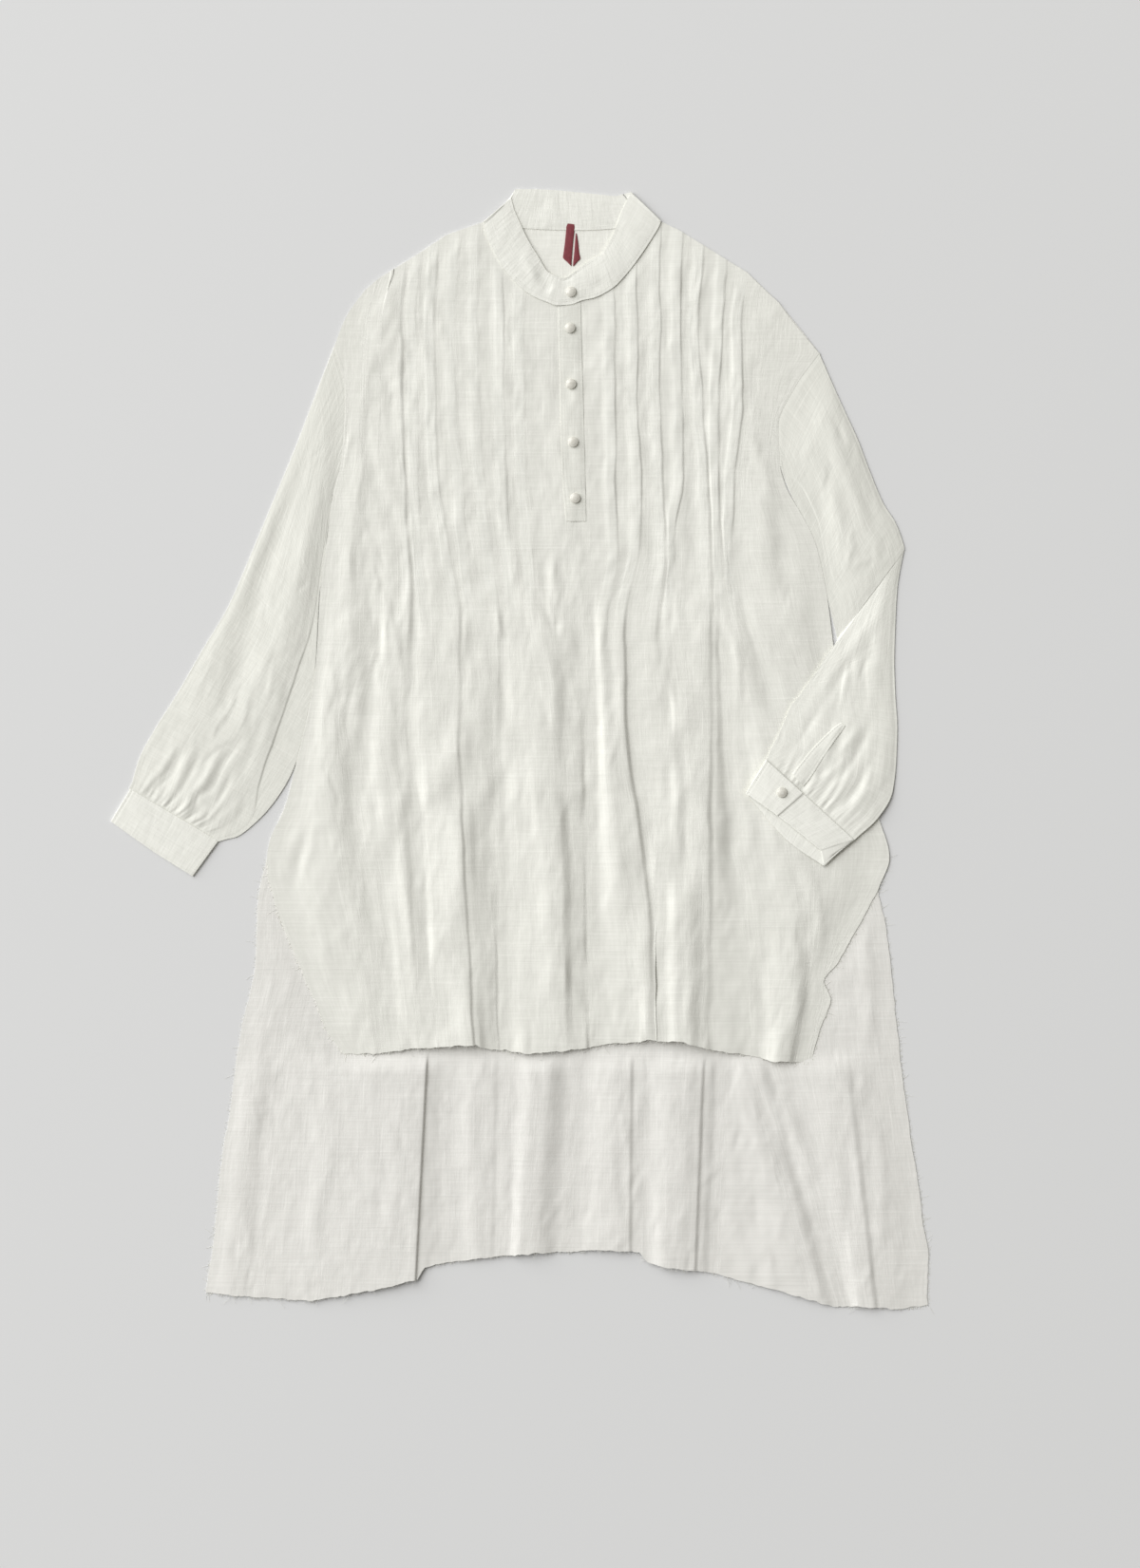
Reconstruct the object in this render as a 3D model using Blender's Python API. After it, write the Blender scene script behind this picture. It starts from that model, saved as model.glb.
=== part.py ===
"""A popover tunic in washed linen, laid out flat on its back.

Lengths are in millimetres. X runs to the viewer's right, Y up towards the neck
and Z up from the table. The origin is on the table under the middle of the
laid-out garment. Left and right are the viewer's.
"""
import math
from collections import namedtuple

import bmesh
import bpy
from mathutils import Vector
from mathutils.bvhtree import BVHTree

METRES = 0.001

# Cloth and stacking
CLOTH = 1.0             # wall of one layer of linen, as a solid
DOUBLED = 1.5           # wall of a doubled band: collar and cuffs
SEAM_GAP = 0.3          # air between two layers that lie on each other
EDGE_GAP = 0.8          # air between two edges that are sewn side by side
SIDE_GAP = 2.0          # air between the body's side and the sleeve that lies beside it
BACK_TOP = CLOTH
FRONT_BASE = BACK_TOP + SEAM_GAP + CLOTH
TUCK_STEP = 1.0         # how far the face of a tuck leans over its height
MITRE_LIMIT = 1.5       # longest corner offset of a wall, in wall thicknesses
ABOVE = 600.0           # a height above the whole garment, and one below it
BELOW = -600.0

# How a sleeve or cuff settles on what it lies on
REST_GAP = 0.5          # air under it
REST_NEAR = 14.0        # it rests on the highest point within this reach
REST_FAR = 32.0         # and hangs off edges within this one
REST_DROP = 1.6         # by up to this much

# Shirt pieces
BUTTON_RADIUS = 5.7
BUTTON_HEIGHT = 3.6
BUTTON_SIDES = 14
BUTTON_PROFILE = [(0.78, 0.0), (1.0, 0.22), (0.93, 0.55), (0.62, 0.88)]  # shares of radius and height
RIBBON = 0.8
PLACKET_CLOTH = 1.2

Point = namedtuple("Point", "x y")

# The outline of the front and back where both share it, top to bottom
SHOULDER_LEFT = [Point(-186, 401), Point(-154, 459), Point(-131, 476), Point(-102, 494), Point(-74, 513)]
NECK_LEFT = Point(-37, 526)
NECK_RIGHT = Point(140, 527)
SHOULDER_RIGHT = [Point(159, 518), Point(188, 500), Point(228, 475), Point(259, 445), Point(283, 416),
                  Point(299, 395)]
FRONT_NECK = [Point(-27, 501), Point(-17, 483), Point(-3, 466), Point(12, 454), Point(28, 447),
              Point(38, 443), Point(51, 445), Point(61, 449), Point(75, 452), Point(93, 462),
              Point(103, 472), Point(117, 490), Point(131, 511)]
BACK_NECK = [Point(-7, 521), Point(50, 518), Point(97, 520)]
ARMHOLE_LEFT = [Point(-186, 401), Point(-175, 352), Point(-178, 291), Point(-189, 247)]
ARMHOLE_RIGHT = [Point(299, 395), Point(274, 360), Point(258, 322), Point(260, 282)]
SIDE_LEFT = [Point(-192, 217), Point(-199, 168), Point(-204, 86), Point(-225, -20), Point(-235, -59),
             Point(-250, -92)]
SIDE_RIGHT = [Point(266, 261), Point(280, 236), Point(293, 211), Point(299, 191), Point(307, 150),
              Point(313, 104), Point(323, 36), Point(340, -21), Point(358, -69)]
FRONT_SLIT_LEFT = [Point(-253, -111), Point(-244, -157), Point(-223, -210), Point(-204, -255),
                   Point(-189, -289), Point(-176, -305)]
FRONT_SLIT_RIGHT = [Point(369, -109), Point(365, -125), Point(356, -144), Point(334, -185),
                    Point(318, -214), Point(304, -233), Point(310, -250), Point(299, -283),
                    Point(291, -313)]
BACK_SLIT_LEFT = [Point(-253, -111), Point(-263, -160), Point(-264, -207), Point(-280, -289),
                  Point(-289, -355), Point(-300, -425), Point(-305, -481), Point(-314, -544)]
BACK_SLIT_RIGHT = [Point(369, -109), Point(358, -142), Point(365, -176), Point(371, -223),
                   Point(375, -264), Point(382, -327), Point(390, -387), Point(399, -444),
                   Point(403, -478), Point(408, -506), Point(407, -557)]
FRONT_HEM = [Point(-176, -305), Point(-141, -305), Point(-110, -300), Point(-78, -298), Point(-43, -296),
             Point(-40, -299), Point(10, -305), Point(36, -303), Point(88, -296), Point(129, -292),
             Point(164, -293), Point(186, -301), Point(224, -306), Point(255, -313), Point(291, -313)]
BACK_HEM = [Point(-314, -544), Point(-289, -547), Point(-210, -552), Point(-153, -542), Point(-103, -530),
            Point(-101, -519), Point(-53, -511), Point(10, -504), Point(50, -503), Point(88, -501),
            Point(119, -504), Point(126, -513), Point(145, -519), Point(182, -523), Point(224, -532),
            Point(277, -544), Point(324, -557), Point(380, -560), Point(407, -557)]

# A fold line of the front runs from the top edge to the hem. run gives its x at the heights in
# FOLD_RUN_Y. Each pair gives how high the cloth stands just left and just right of the line, over
# the flat, on the bib, where the tucks are released, on the skirt and at the hem.
FOLD_RUN_Y = (425, 350, 275, 200, 120, 25, -85, -200)
FOLD_LEVEL_Y = (235, 150, -60, -290)
Fold = namedtuple("Fold", "name top run hem bib release skirt edge")
FRONT_FOLDS = [
    Fold("left drape", -154, (-162, -165, -169, -176, -182, -191, -211, -195), -154,
         (1.2, 1.2), (1.2, 1.2), (0.8, 0.8), (0.3, 0.3)),
    Fold("left side ridge", -131, (-145, -146, -148, -150, -150, -152, -157, -154), -133,
         (3.0, 3.0), (2.0, 2.0), (2.6, 2.6), (1.5, 1.5)),
    Fold("long edge", -120, (-130, -119, -115, -112, -109, -105, -102, -106), -110,
         (4.0, 0.0), (3.0, 0.4), (1.0, 1.0), (0.5, 0.5)),
    Fold("left tuck 6", -102, (-105, -104, -103, -102, -93, -87, -84, -82), -80,
         (0.0, 2.4), (0.5, 2.0), (2.0, 2.0), (1.5, 1.5)),
    Fold("left tuck 5, then the deep lap", -81, (-85, -84, -82, -71, -59, -60, -57, -48), -44,
         (0.0, 2.4), (6.0, 0.5), (6.5, 0.0), (4.5, 0.0)),
    Fold("left tuck 4", -60, (-65, -64, -58, -56, -47, -44, -38, -30), -27,
         (0.0, 2.4), (0.5, 1.2), (0.3, 0.3), (0.2, 0.2)),
    Fold("left tuck 3", -40, (-42, -40, -37, -27, -22, -19, -18, -16), -14,
         (0.0, 2.4), (2.0, 2.4), (3.0, 3.0), (1.5, 1.5)),
    Fold("left tuck 2, then the broad ridge", -17, (-19, -15, -12, -10, -1, 1, 1, 2), 4,
         (0.0, 2.4), (3.0, 3.4), (4.8, 4.8), (2.2, 2.2)),
    Fold("left tuck 1", 4, (3, 4, 7, 12, 22, 24, 25, 26), 28,
         (0.0, 2.2), (1.5, 2.2), (3.4, 3.4), (1.8, 1.8)),
    Fold("placket left", 38, (38, 40, 42, 47, 57, 44, 47, 45), 44,
         (0.0, 0.0), (0.6, 0.6), (0.2, 0.2), (0.0, 0.0)),
    Fold("placket right", 61, (62, 63, 65, 70, 74, 66, 68, 69), 68,
         (0.0, 0.0), (1.8, 1.8), (1.8, 1.8), (1.0, 1.0)),
    Fold("right tuck 1", 93, (95, 95, 95, 98, 87, 89, 95, 109), 114,
         (4.4, 0.0), (4.6, 0.4), (4.4, 3.0), (2.2, 2.2)),
    Fold("right tuck 2, then the deep pleat", 116, (117, 117, 121, 121, 108, 107, 118, 137), 137,
         (4.6, 0.0), (5.2, 0.0), (6.0, 0.0), (1.4, 0.4)),
    Fold("right tuck 3", 141, (140, 140, 143, 143, 138, 146, 149, 142), 143,
         (4.6, 0.0), (4.6, 0.8), (1.0, 3.2), (0.4, 1.5)),
    Fold("right tuck 4", 163, (160, 163, 164, 155, 152, 159, 163, 162), 162,
         (4.8, 0.0), (4.4, 0.6), (3.2, 2.6), (1.5, 1.5)),
    Fold("right tuck 5, then the long trough", 184, (178, 182, 188, 190, 191, 191, 190, 189), 187,
         (4.8, 0.0), (4.6, 0.2), (3.4, 0.4), (2.0, 0.0)),
    Fold("right tuck 6", 207, (203, 199, 196, 199, 204, 212, 222, 230), 228,
         (4.6, 0.0), (3.4, 0.6), (1.8, 1.8), (2.0, 2.0)),
    Fold("right tuck 7", 228, (221, 223, 215, 210, 226, 256, 270, 278), 265,
         (4.4, 0.0), (3.0, 1.0), (1.4, 1.0), (1.4, 0.6)),
    Fold("right drape", 259, (257, 247, 240, 254, 273, 295, 316, 303), 280,
         (3.0, 3.0), (2.0, 2.0), (1.0, 1.0), (0.6, 0.6)),
]

# A fold line of the back shows below the front hem. x1 and x2 are its places at the heights
# BACK_FOLD_TOP and BACK_FOLD_HEM, left and right how high the cloth stands beside it.
BACK_FOLD_TOP = -316
BACK_FOLD_HEM = -530
BACK_FOLD_FADE = 60.0   # over how long a stretch those folds rise out of the flat
BODY_CENTRE = 55.0      # the x of the middle of the body
SPREAD_FROM = -200.0    # the back's fold lines draw together from here up to the shoulders
SPREAD_OVER = 500.0
BackFold = namedtuple("BackFold", "name x1 x2 left right")
BACK_FOLDS = [
    BackFold("left ridge", -215, -228, 1.5, 1.5),
    BackFold("left trough", -160, -172, 0.0, 0.0),
    BackFold("left lap", -103, -103, 5.0, 0.0),
    BackFold("left rise", -55, -58, 1.0, 1.0),
    BackFold("middle ridge", 18, 20, 3.0, 3.0),
    BackFold("middle trough", 88, 84, 0.6, 0.6),
    BackFold("seam line", 138, 128, 2.2, 1.2),
    BackFold("right lap", 182, 176, 4.6, 0.0),
    BackFold("diagonal trough", 226, 288, 0.2, 0.2),
    BackFold("right ridge", 277, 334, 2.6, 2.6),
    BackFold("right trough", 330, 372, 0.4, 0.4),
]

# Where the rows of each panel stand, from 0 at its top edge to 1 at its hem
FRONT_ROWS = [0.034 * k for k in range(16)] + [0.57, 0.63, 0.7, 0.78, 0.86, 0.93, 1.0]
FOLD_PARTS = (0.42,)    # columns between two fold lines, and where the cloth is wide and plain
PLAIN_PARTS = (0.33, 0.7)
BACK_PARTS = (0.5,)
CORNER_REACH = 0.25     # no such column stands nearer than this to an outline corner's own column
BACK_ROWS = [0.0, 0.028, 0.056, 0.084, 0.112, 0.14, 0.17, 0.21, 0.26, 0.32, 0.4, 0.48, 0.55, 0.62, 0.69,
             0.755, 0.79, 0.83, 0.88, 0.94, 1.0]

# A section of a sleeve runs from its inner edge to its outer edge, laid flat. lap is how far along it, in
# hundredths from the outer edge, the top layer folds down to the lower one. loft is how high the
# cloth stands between the edges and wave how deep its lengthwise folds are.
Section = namedtuple("Section", "outer inner lap loft wave")
SLEEVE_LEFT = [
    Section(Point(-186, 401), Point(-189, 247), 100, 0.3, 0.0),
    Section(Point(-205, 352), Point(-192, 220), 99, 1.6, 0.2),
    Section(Point(-224, 302), Point(-196, 188), 98, 2.2, 0.5),
    Section(Point(-245, 251), Point(-201, 148), 96, 2.4, 0.7),
    Section(Point(-268, 196), Point(-203, 108), 90, 2.4, 0.8),
    Section(Point(-292, 141), Point(-206, 66), 82, 2.4, 0.9),
    Section(Point(-317, 99), Point(-214, 25), 80, 2.4, 0.9),
    Section(Point(-343, 54), Point(-225, -17), 79, 2.4, 0.9),
    Section(Point(-365, 19), Point(-241, -47), 84, 2.3, 1.0),
    Section(Point(-380, -9), Point(-262, -72), 95, 2.1, 1.2),
    Section(Point(-386, -28), Point(-285, -89), 99, 1.5, 1.3),
    Section(Point(-389, -40), Point(-301, -92), 100, 0.6, 0.8),
]
SLEEVE_RIGHT_UPPER = [
    Section(Point(299, 395), Point(260, 282), 100, 0.3, 0.0),
    Section(Point(312, 365), Point(265, 267), 93, 1.6, 0.2),
    Section(Point(325, 336), Point(276, 243), 84, 2.2, 0.4),
    Section(Point(337, 310), Point(289, 218), 86, 2.4, 0.5),
    Section(Point(348, 281), Point(300, 186), 92, 2.4, 0.6),
    Section(Point(363, 245), Point(306, 156), 95, 2.4, 0.6),
    Section(Point(376, 224), Point(313, 126), 98, 2.2, 0.5),
    Section(Point(384, 200), Point(317, 109), 99, 1.6, 0.3),
]
SLEEVE_RIGHT_FOREARM = [
    Section(Point(383, 195), Point(315, 105), 100, 2.0, 0.2),
    Section(Point(377, 160), Point(305, 91), 100, 2.6, 0.5),
    Section(Point(375, 124), Point(297, 78), 100, 2.8, 0.7),
    Section(Point(374, 87), Point(288, 66), 100, 2.9, 0.8),
    Section(Point(375, 53), Point(279, 53), 100, 2.9, 0.9),
    Section(Point(377, 21), Point(270, 42), 100, 2.8, 0.9),
    Section(Point(376, -11), Point(264, 28), 100, 2.6, 1.0),
    Section(Point(372, -44), Point(258, 14), 100, 2.3, 1.1),
    Section(Point(357, -70), Point(251, 1), 100, 1.6, 1.2),
    Section(Point(334, -91), Point(246, -11), 100, 0.7, 0.8),
]
SLEEVE_DRAPES = 3.5     # soft lengthwise folds across the arm
SLEEVE_GATHERS = 8      # gathers across the cuff seam
GATHER_COLUMNS = 3      # columns of the wall to each gather
GATHER_SECTIONS = 4     # how many sections, from the cuff up, the gathers run
SLEEVE_FLAT = 2.6       # two layers and the air between them at the edges of a sleeve
SLEEVE_EDGE = 0.012     # the first column of the upper layer, as a share of the width
SLEEVE_UNDER = [0.97, 0.87, 0.75, 0.62, 0.5, 0.38, 0.25, 0.13, 0.03]  # columns of the lower layer
SLEEVE_ROUND = 6        # how squarely the upper layer falls to its edges
WAVE_DEPTH = 0.7
WAVE_TURN = 0.35        # how far the soft folds wander from one section to the next
LAP_SOFTNESS = 0.04

# The collar band, from its seam to its top edge. It goes round the front from the left shoulder,
# then back under it. seam_z and edge_z are the heights of its upper face.
Band = namedtuple("Band", "seam edge seam_z edge_z")
COLLAR_FRONT = [
    Band(Point(-33, 514), Point(-6, 539), 4.2, 6.4),
    Band(Point(-27, 501), Point(-1, 527), 4.0, 7.6),
    Band(Point(-17, 483), Point(8, 508), 3.6, 9.0),
    Band(Point(-3, 466), Point(19, 490), 3.4, 9.6),
    Band(Point(12, 454), Point(27, 477), 3.4, 9.2),
    Band(Point(28, 447), Point(36, 472), 3.4, 8.0),
    Band(Point(37, 444), Point(42, 470), 3.4, 7.6),
    Band(Point(39, 444), Point(44, 470), 5.0, 9.2),
    Band(Point(51, 445), Point(53, 475), 5.0, 9.6),
    Band(Point(62, 449), Point(62, 482), 4.8, 10.0),
    Band(Point(75, 452), Point(71, 488), 4.0, 10.4),
    Band(Point(93, 462), Point(82, 495), 3.6, 10.6),
    Band(Point(103, 472), Point(88, 504), 3.6, 10.4),
    Band(Point(117, 490), Point(94, 515), 3.8, 9.6),
    Band(Point(131, 511), Point(98, 527), 4.0, 8.0),
    Band(Point(137, 521), Point(104, 542), 4.2, 6.6),
]
COLLAR_BACK = [
    Band(Point(126, 523), Point(103, 554), 1.6, 2.4),
    Band(Point(107, 521), Point(95, 552), 1.5, 2.2),
    Band(Point(88, 519), Point(85, 553), 1.5, 2.0),
    Band(Point(59, 518), Point(55, 556), 1.5, 2.0),
    Band(Point(31, 518), Point(34, 558), 1.5, 2.0),
    Band(Point(2, 520), Point(12, 559), 1.5, 2.4),
    Band(Point(-21, 522), Point(-4, 559), 1.6, 2.6),
]
COLLAR_TIP_LEFT = Band(Point(-36, 527), Point(-9, 550), 2.4, 3.6)
COLLAR_TIP_RIGHT = Band(Point(140, 528), Point(111, 556), 2.4, 3.6)
NECK_CENTRE = Point(55, 500)

# Placket strip and sleeve placket strip: left and right edge of each row, from the top
Row = namedtuple("Row", "left right")
PLACKET = [
    Row(Point(38.4, 441.5), Point(60.6, 446.0)),
    Row(Point(38.8, 410), Point(61.3, 410)),
    Row(Point(40, 350), Point(63, 350)),
    Row(Point(42, 275), Point(65, 275)),
    Row(Point(46, 227), Point(66, 227)),
]
SLEEVE_STRIP = [
    Row(Point(309, 30), Point(323, 23)),
    Row(Point(297, 18), Point(309, 10)),
    Row(Point(286, 2), Point(295, -7)),
    Row(Point(278, -12), Point(286, -20)),
]
NECK_LOOP = [
    Row(Point(46, 525), Point(55, 524)),
    Row(Point(45, 512), Point(56, 512)),
    Row(Point(44, 500), Point(58, 500)),
    Row(Point(43, 490), Point(60, 490)),
    Row(Point(50, 482), Point(53, 482)),
]
PLACKET_BUTTONS = [Point(51, 456), Point(50, 420), Point(51, 364), Point(53, 306), Point(55, 250)]
CUFF_BUTTON = Point(261, -44)

# Cuffs: seam side and open side, from the left edge to the right edge of the upper and lower layer
CUFF_LEFT_SEAM = [Point(-389.3, -40.5), Point(-301.3, -92.6)]
CUFF_LEFT_OPEN = [Point(-409, -73), Point(-365, -104), Point(-327, -128)]
CUFF_RIGHT_SEAM = [Point(245.6, -11.5), Point(333.6, -91.5)]
CUFF_RIGHT_OPEN_UPPER = [Point(225, -45), Point(261, -68), Point(303, -91)]
CUFF_RIGHT_OPEN_LOWER = [Point(228, -48), Point(268, -91), Point(304, -118)]
CUFF_OVERLAP = 0.42     # where the buttoned end stops, along the right cuff
CUFF_LAP = 1.4          # how much higher that end stands
CUFF_FLAT = 3.6         # two doubled layers and the air between them
CUFF_CROWN = 0.9        # how much the upper layer swells between the edges
CUFF_STEPS = (0.0, 0.35, 0.7, 1.0)
CUFF_UPPER = [0.015, 0.12, 0.24, 0.36, 0.405, 0.435, 0.55, 0.68, 0.8, 0.9, 0.985]
CUFF_UNDER = [0.97, 0.75, 0.5, 0.25, 0.03]
COLLAR_STEPS = (0.0, 0.3, 0.65, 1.0)

# The cloths' and trimmings' colours: red, green, blue, roughness
LINEN = (0.80, 0.79, 0.73, 0.95)
BAND_LINEN = (0.82, 0.81, 0.75, 0.95)
BUTTON_SHELL = (0.62, 0.60, 0.53, 0.35)
RIBBON_RED = (0.30, 0.03, 0.05, 0.80)


def blend(a, b, t):
    """The value t of the way from a to b."""
    return a + (b - a) * t


def ease(t):
    """A soft step from 0 to 1."""
    t = min(1.0, max(0.0, t))
    return t * t * (3.0 - 2.0 * t)


def slopes(xs, ys):
    """Slopes of a curve through the points that never overshoots them."""
    steps = [(ys[i + 1] - ys[i]) / (xs[i + 1] - xs[i]) for i in range(len(xs) - 1)]
    middle = [0.0 if a * b <= 0 else 2 * a * b / (a + b) for a, b in zip(steps, steps[1:])]
    return [steps[0]] + middle + [steps[-1]]


def curve(xs, ys, x):
    """The smooth curve through the points (xs, ys), at x. xs rises."""
    if x <= xs[0]:
        return ys[0]
    if x >= xs[-1]:
        return ys[-1]
    tangents = slopes(xs, ys)
    i = max(k for k in range(len(xs) - 1) if xs[k] <= x)
    width = xs[i + 1] - xs[i]
    t = (x - xs[i]) / width
    start = (1 + 2 * t) * (1 - t) ** 2 * ys[i] + t * (1 - t) ** 2 * width * tangents[i]
    end = t * t * (3 - 2 * t) * ys[i + 1] + t * t * (t - 1) * width * tangents[i + 1]
    return start + end


def across(points, y):
    """The x of a line that runs down through the points, at the height y."""
    rising = list(reversed(points))
    return curve([p.y for p in rising], [p.x for p in rising], y)


def along(points, x):
    """The y of an outline that runs to the right through the points, at x, with straight stretches."""
    for a, b in zip(points, points[1:]):
        if x <= b.x:
            return blend(a.y, b.y, max(0.0, (x - a.x) / (b.x - a.x)))
    return points[-1].y


def edge_rows(side, shares):
    """The corners of a panel's side edge: its points at the rows of the panel."""
    heights = [blend(side[0].y, side[-1].y, share) for share in shares]
    return [Point(across(side, y), y) for y in heights]


def chord(points, y):
    """The x, at the height y, of the straight stretches down through the points."""
    for a, b in zip(points, points[1:]):
        if y >= b.y:
            return blend(a.x, b.x, min(1.0, max(0.0, (a.y - y) / (a.y - b.y))))
    return points[-1].x


def on_line(points, t):
    """The point t of the way along a line of points, each stretch counted alike."""
    place = t * (len(points) - 1)
    i = min(int(place), len(points) - 2)
    a, b = points[i], points[i + 1]
    return Point(blend(a.x, b.x, place - i), blend(a.y, b.y, place - i))


def level(pairs, y, side):
    """How high a fold stands on one side of its line, at the height y."""
    values = [pair[side] for pair in pairs]
    knots = list(reversed(FOLD_LEVEL_Y))
    return curve(knots, list(reversed(values)), y)


def material(name, look):
    """A plain material with the given colour and roughness."""
    made = bpy.data.materials.get(name) or bpy.data.materials.new(name)
    made.use_nodes = True
    shader = made.node_tree.nodes["Principled BSDF"]
    shader.inputs["Base Color"].default_value = (*look[:3], 1.0)
    shader.inputs["Roughness"].default_value = look[3]
    shader.inputs["Metallic"].default_value = 0.0
    return made


def finish(mesh_builder, name, look, smooth=30):
    """Makes an object of a closed bmesh whose points are in millimetres."""
    bmesh.ops.scale(mesh_builder, vec=(METRES, METRES, METRES), verts=mesh_builder.verts)
    bmesh.ops.recalc_face_normals(mesh_builder, faces=mesh_builder.faces)
    mesh = bpy.data.meshes.new(name)
    mesh_builder.to_mesh(mesh)
    mesh_builder.free()
    mesh.materials.append(material(name + " cloth", look))
    mesh.shade_smooth()
    mesh.set_sharp_from_angle(angle=math.radians(smooth))
    piece = bpy.data.objects.new(name, mesh)
    bpy.context.scene.collection.objects.link(piece)
    return piece


def strip_faces(mesh_builder, one, two, closed=False):
    """Faces between two rows of vertices of the same length."""
    count = len(one)
    last = count if closed else count - 1
    for i in range(last):
        j = (i + 1) % count
        mesh_builder.faces.new((one[i], one[j], two[j], two[i]))


def sheet_solid(name, top, under, look):
    """A closed wall between two grids of points, rows by columns."""
    mesh_builder = bmesh.new()
    upper = [[mesh_builder.verts.new(p) for p in row] for row in top]
    lower = [[mesh_builder.verts.new(p) for p in row] for row in under]
    for grid in (upper, lower):
        for one, two in zip(grid, grid[1:]):
            strip_faces(mesh_builder, one, two)
    for k in (0, -1):
        strip_faces(mesh_builder, upper[k], lower[k])
        strip_faces(mesh_builder, [row[k] for row in upper], [row[k] for row in lower])
    return finish(mesh_builder, name, look)


def tube_solid(name, outside, inside, look):
    """A closed wall between two tubes of loops, open at both ends."""
    mesh_builder = bmesh.new()
    outer = [[mesh_builder.verts.new(p) for p in loop] for loop in outside]
    inner = [[mesh_builder.verts.new(p) for p in loop] for loop in inside]
    for tube in (outer, inner):
        for one, two in zip(tube, tube[1:]):
            strip_faces(mesh_builder, one, two, closed=True)
    for k in (0, -1):
        strip_faces(mesh_builder, outer[k], inner[k], closed=True)
    return finish(mesh_builder, name, look)


def wall_under(row, thickness, floor):
    """The underside of a row of points: each moved in square to the row, mitred, and not below floor."""
    normals = []
    for a, b in zip(row, row[1:]):
        run = Vector((b.x - a.x, 0.0, b.z - a.z))
        normals.append(Vector((-run.z, 0.0, run.x)).normalized())
    under = []
    for i, p in enumerate(row):
        before = normals[max(0, i - 1)]
        after = normals[min(i, len(normals) - 1)]
        corner = (before + after) / (1.0 + before.dot(after))
        if corner.length > MITRE_LIMIT:
            corner = corner.normalized() * MITRE_LIMIT
        below = p - corner * thickness
        under.append(Vector((below.x, below.y, max(below.z, floor))))
    return under


class Heights:
    """Finds how high the pieces made so far stand at a place on the table."""

    SKY = 200.0

    def __init__(self, *pieces):
        self.trees = []
        for piece in pieces:
            mesh = piece.data
            corners = [v.co / METRES for v in mesh.vertices]
            self.trees.append(BVHTree.FromPolygons(corners, [list(f.vertices) for f in mesh.polygons]))

    def top(self, x, y):
        """The highest surface straight above (x, y), or 0 on the bare table."""
        best = 0.0
        for tree in self.trees:
            hit = tree.ray_cast(Vector((x, y, self.SKY)), Vector((0.0, 0.0, -1.0)))[0]
            if hit:
                best = max(best, hit.z)
        return best

    def around(self, x, y, reach):
        """The highest surface within reach of (x, y)."""
        places = [(0.0, 0.0)]
        for share in (0.5, 1.0):
            for k in range(10):
                turn = math.tau * k / 10
                places.append((reach * share * math.cos(turn), reach * share * math.sin(turn)))
        return max(self.top(x + dx, y + dy) for dx, dy in places)


def gap_parts(start, end, corners, spare):
    """Where extra columns stand between two lines: at the outline's corners, then evenly."""
    found = [(corner - start) / (end - start) for corner in corners]
    found = [t for t in found if 0.1 < t < 0.9]
    return sorted(found + [s for s in spare if all(abs(s - t) > CORNER_REACH for t in found)])


def between(one, two, t):
    """A column t of the way from line one to line two: its place and height as functions of y."""
    def place(y):
        return blend(one.place(y), two.place(y), t)

    def height(y):
        low, high = one.right(y), two.left(y)
        turned = math.sin(t * math.pi / 2) if high > low else 1 - math.cos(t * math.pi / 2)
        return blend(low, high, turned)

    return place, height


def stepped(line, side):
    """The column just left (side -1) or right (side 1) of a line where the cloth steps down."""
    def place(y):
        return line.place(y) + side * TUCK_STEP / 2

    return place, line.left if side < 0 else line.right


# An edge or fold line of a panel: place(y) is its x, left(y) and right(y) how high the cloth stands
# on its two sides, top its x at the top edge
Line = namedtuple("Line", "place left right top")


def panel_columns(lines, top_edge, spare):
    """The columns of a panel, from its left edge to its right edge, as pairs (place, height).

    spare holds, for each gap between two lines, the shares at which plain columns stand.
    """
    corners = [p.x for p in top_edge]
    columns = []
    for line, following, parts in zip(lines, lines[1:] + [None], spare + [()]):
        if line.left is line.right:
            columns.append((line.place, line.left))
        else:
            columns += [stepped(line, -1), stepped(line, 1)]
        if following:
            shares = gap_parts(line.top, following.top, corners, parts)
            columns += [between(line, following, t) for t in shares]
    return columns


def panel_rows(columns, shares, edges, top_edge, hem, base):
    """The grid of a panel's upper points. shares run from 0 at the top to 1 at the hem."""
    left, right = edges
    last = len(columns) - 1
    rows = []
    for share in shares:
        row = []
        for i, (place, height) in enumerate(columns):
            if i in (0, last):
                side = left if i == 0 else right
                y = blend(side[0].y, side[-1].y, share)
            else:
                y = blend(along(top_edge, place(ABOVE)), along(hem, place(BELOW)), share)
            row.append(Vector((place(y), y, base + height(y))))
        rows.append(row)
    return rows


def flat(y):
    """The height of a line along which the cloth lies flat, whatever y is."""
    return 0.0


def side_line(side):
    """The edge line of a panel, flat, through the points of its side."""
    return Line(lambda y: across(side, y), flat, flat, side[0].x)


def back_fold_line(fold, narrowing):
    """The line of one fold of the back. narrowing is the width at the top over that at the hem."""
    def place(y):
        slant = (fold.x2 - fold.x1) / (BACK_FOLD_HEM - BACK_FOLD_TOP)
        x = fold.x1 + slant * min(y - BACK_FOLD_TOP, 0.0)
        return BODY_CENTRE + (x - BODY_CENTRE) * blend(1.0, narrowing, ease((y - SPREAD_FROM) / SPREAD_OVER))

    def left(y):
        return fold.left * ease((BACK_FOLD_TOP - y) / BACK_FOLD_FADE)

    def right(y):
        return fold.right * ease((BACK_FOLD_TOP - y) / BACK_FOLD_FADE)

    return Line(place, left, left if fold.left == fold.right else right, place(ABOVE))


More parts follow.
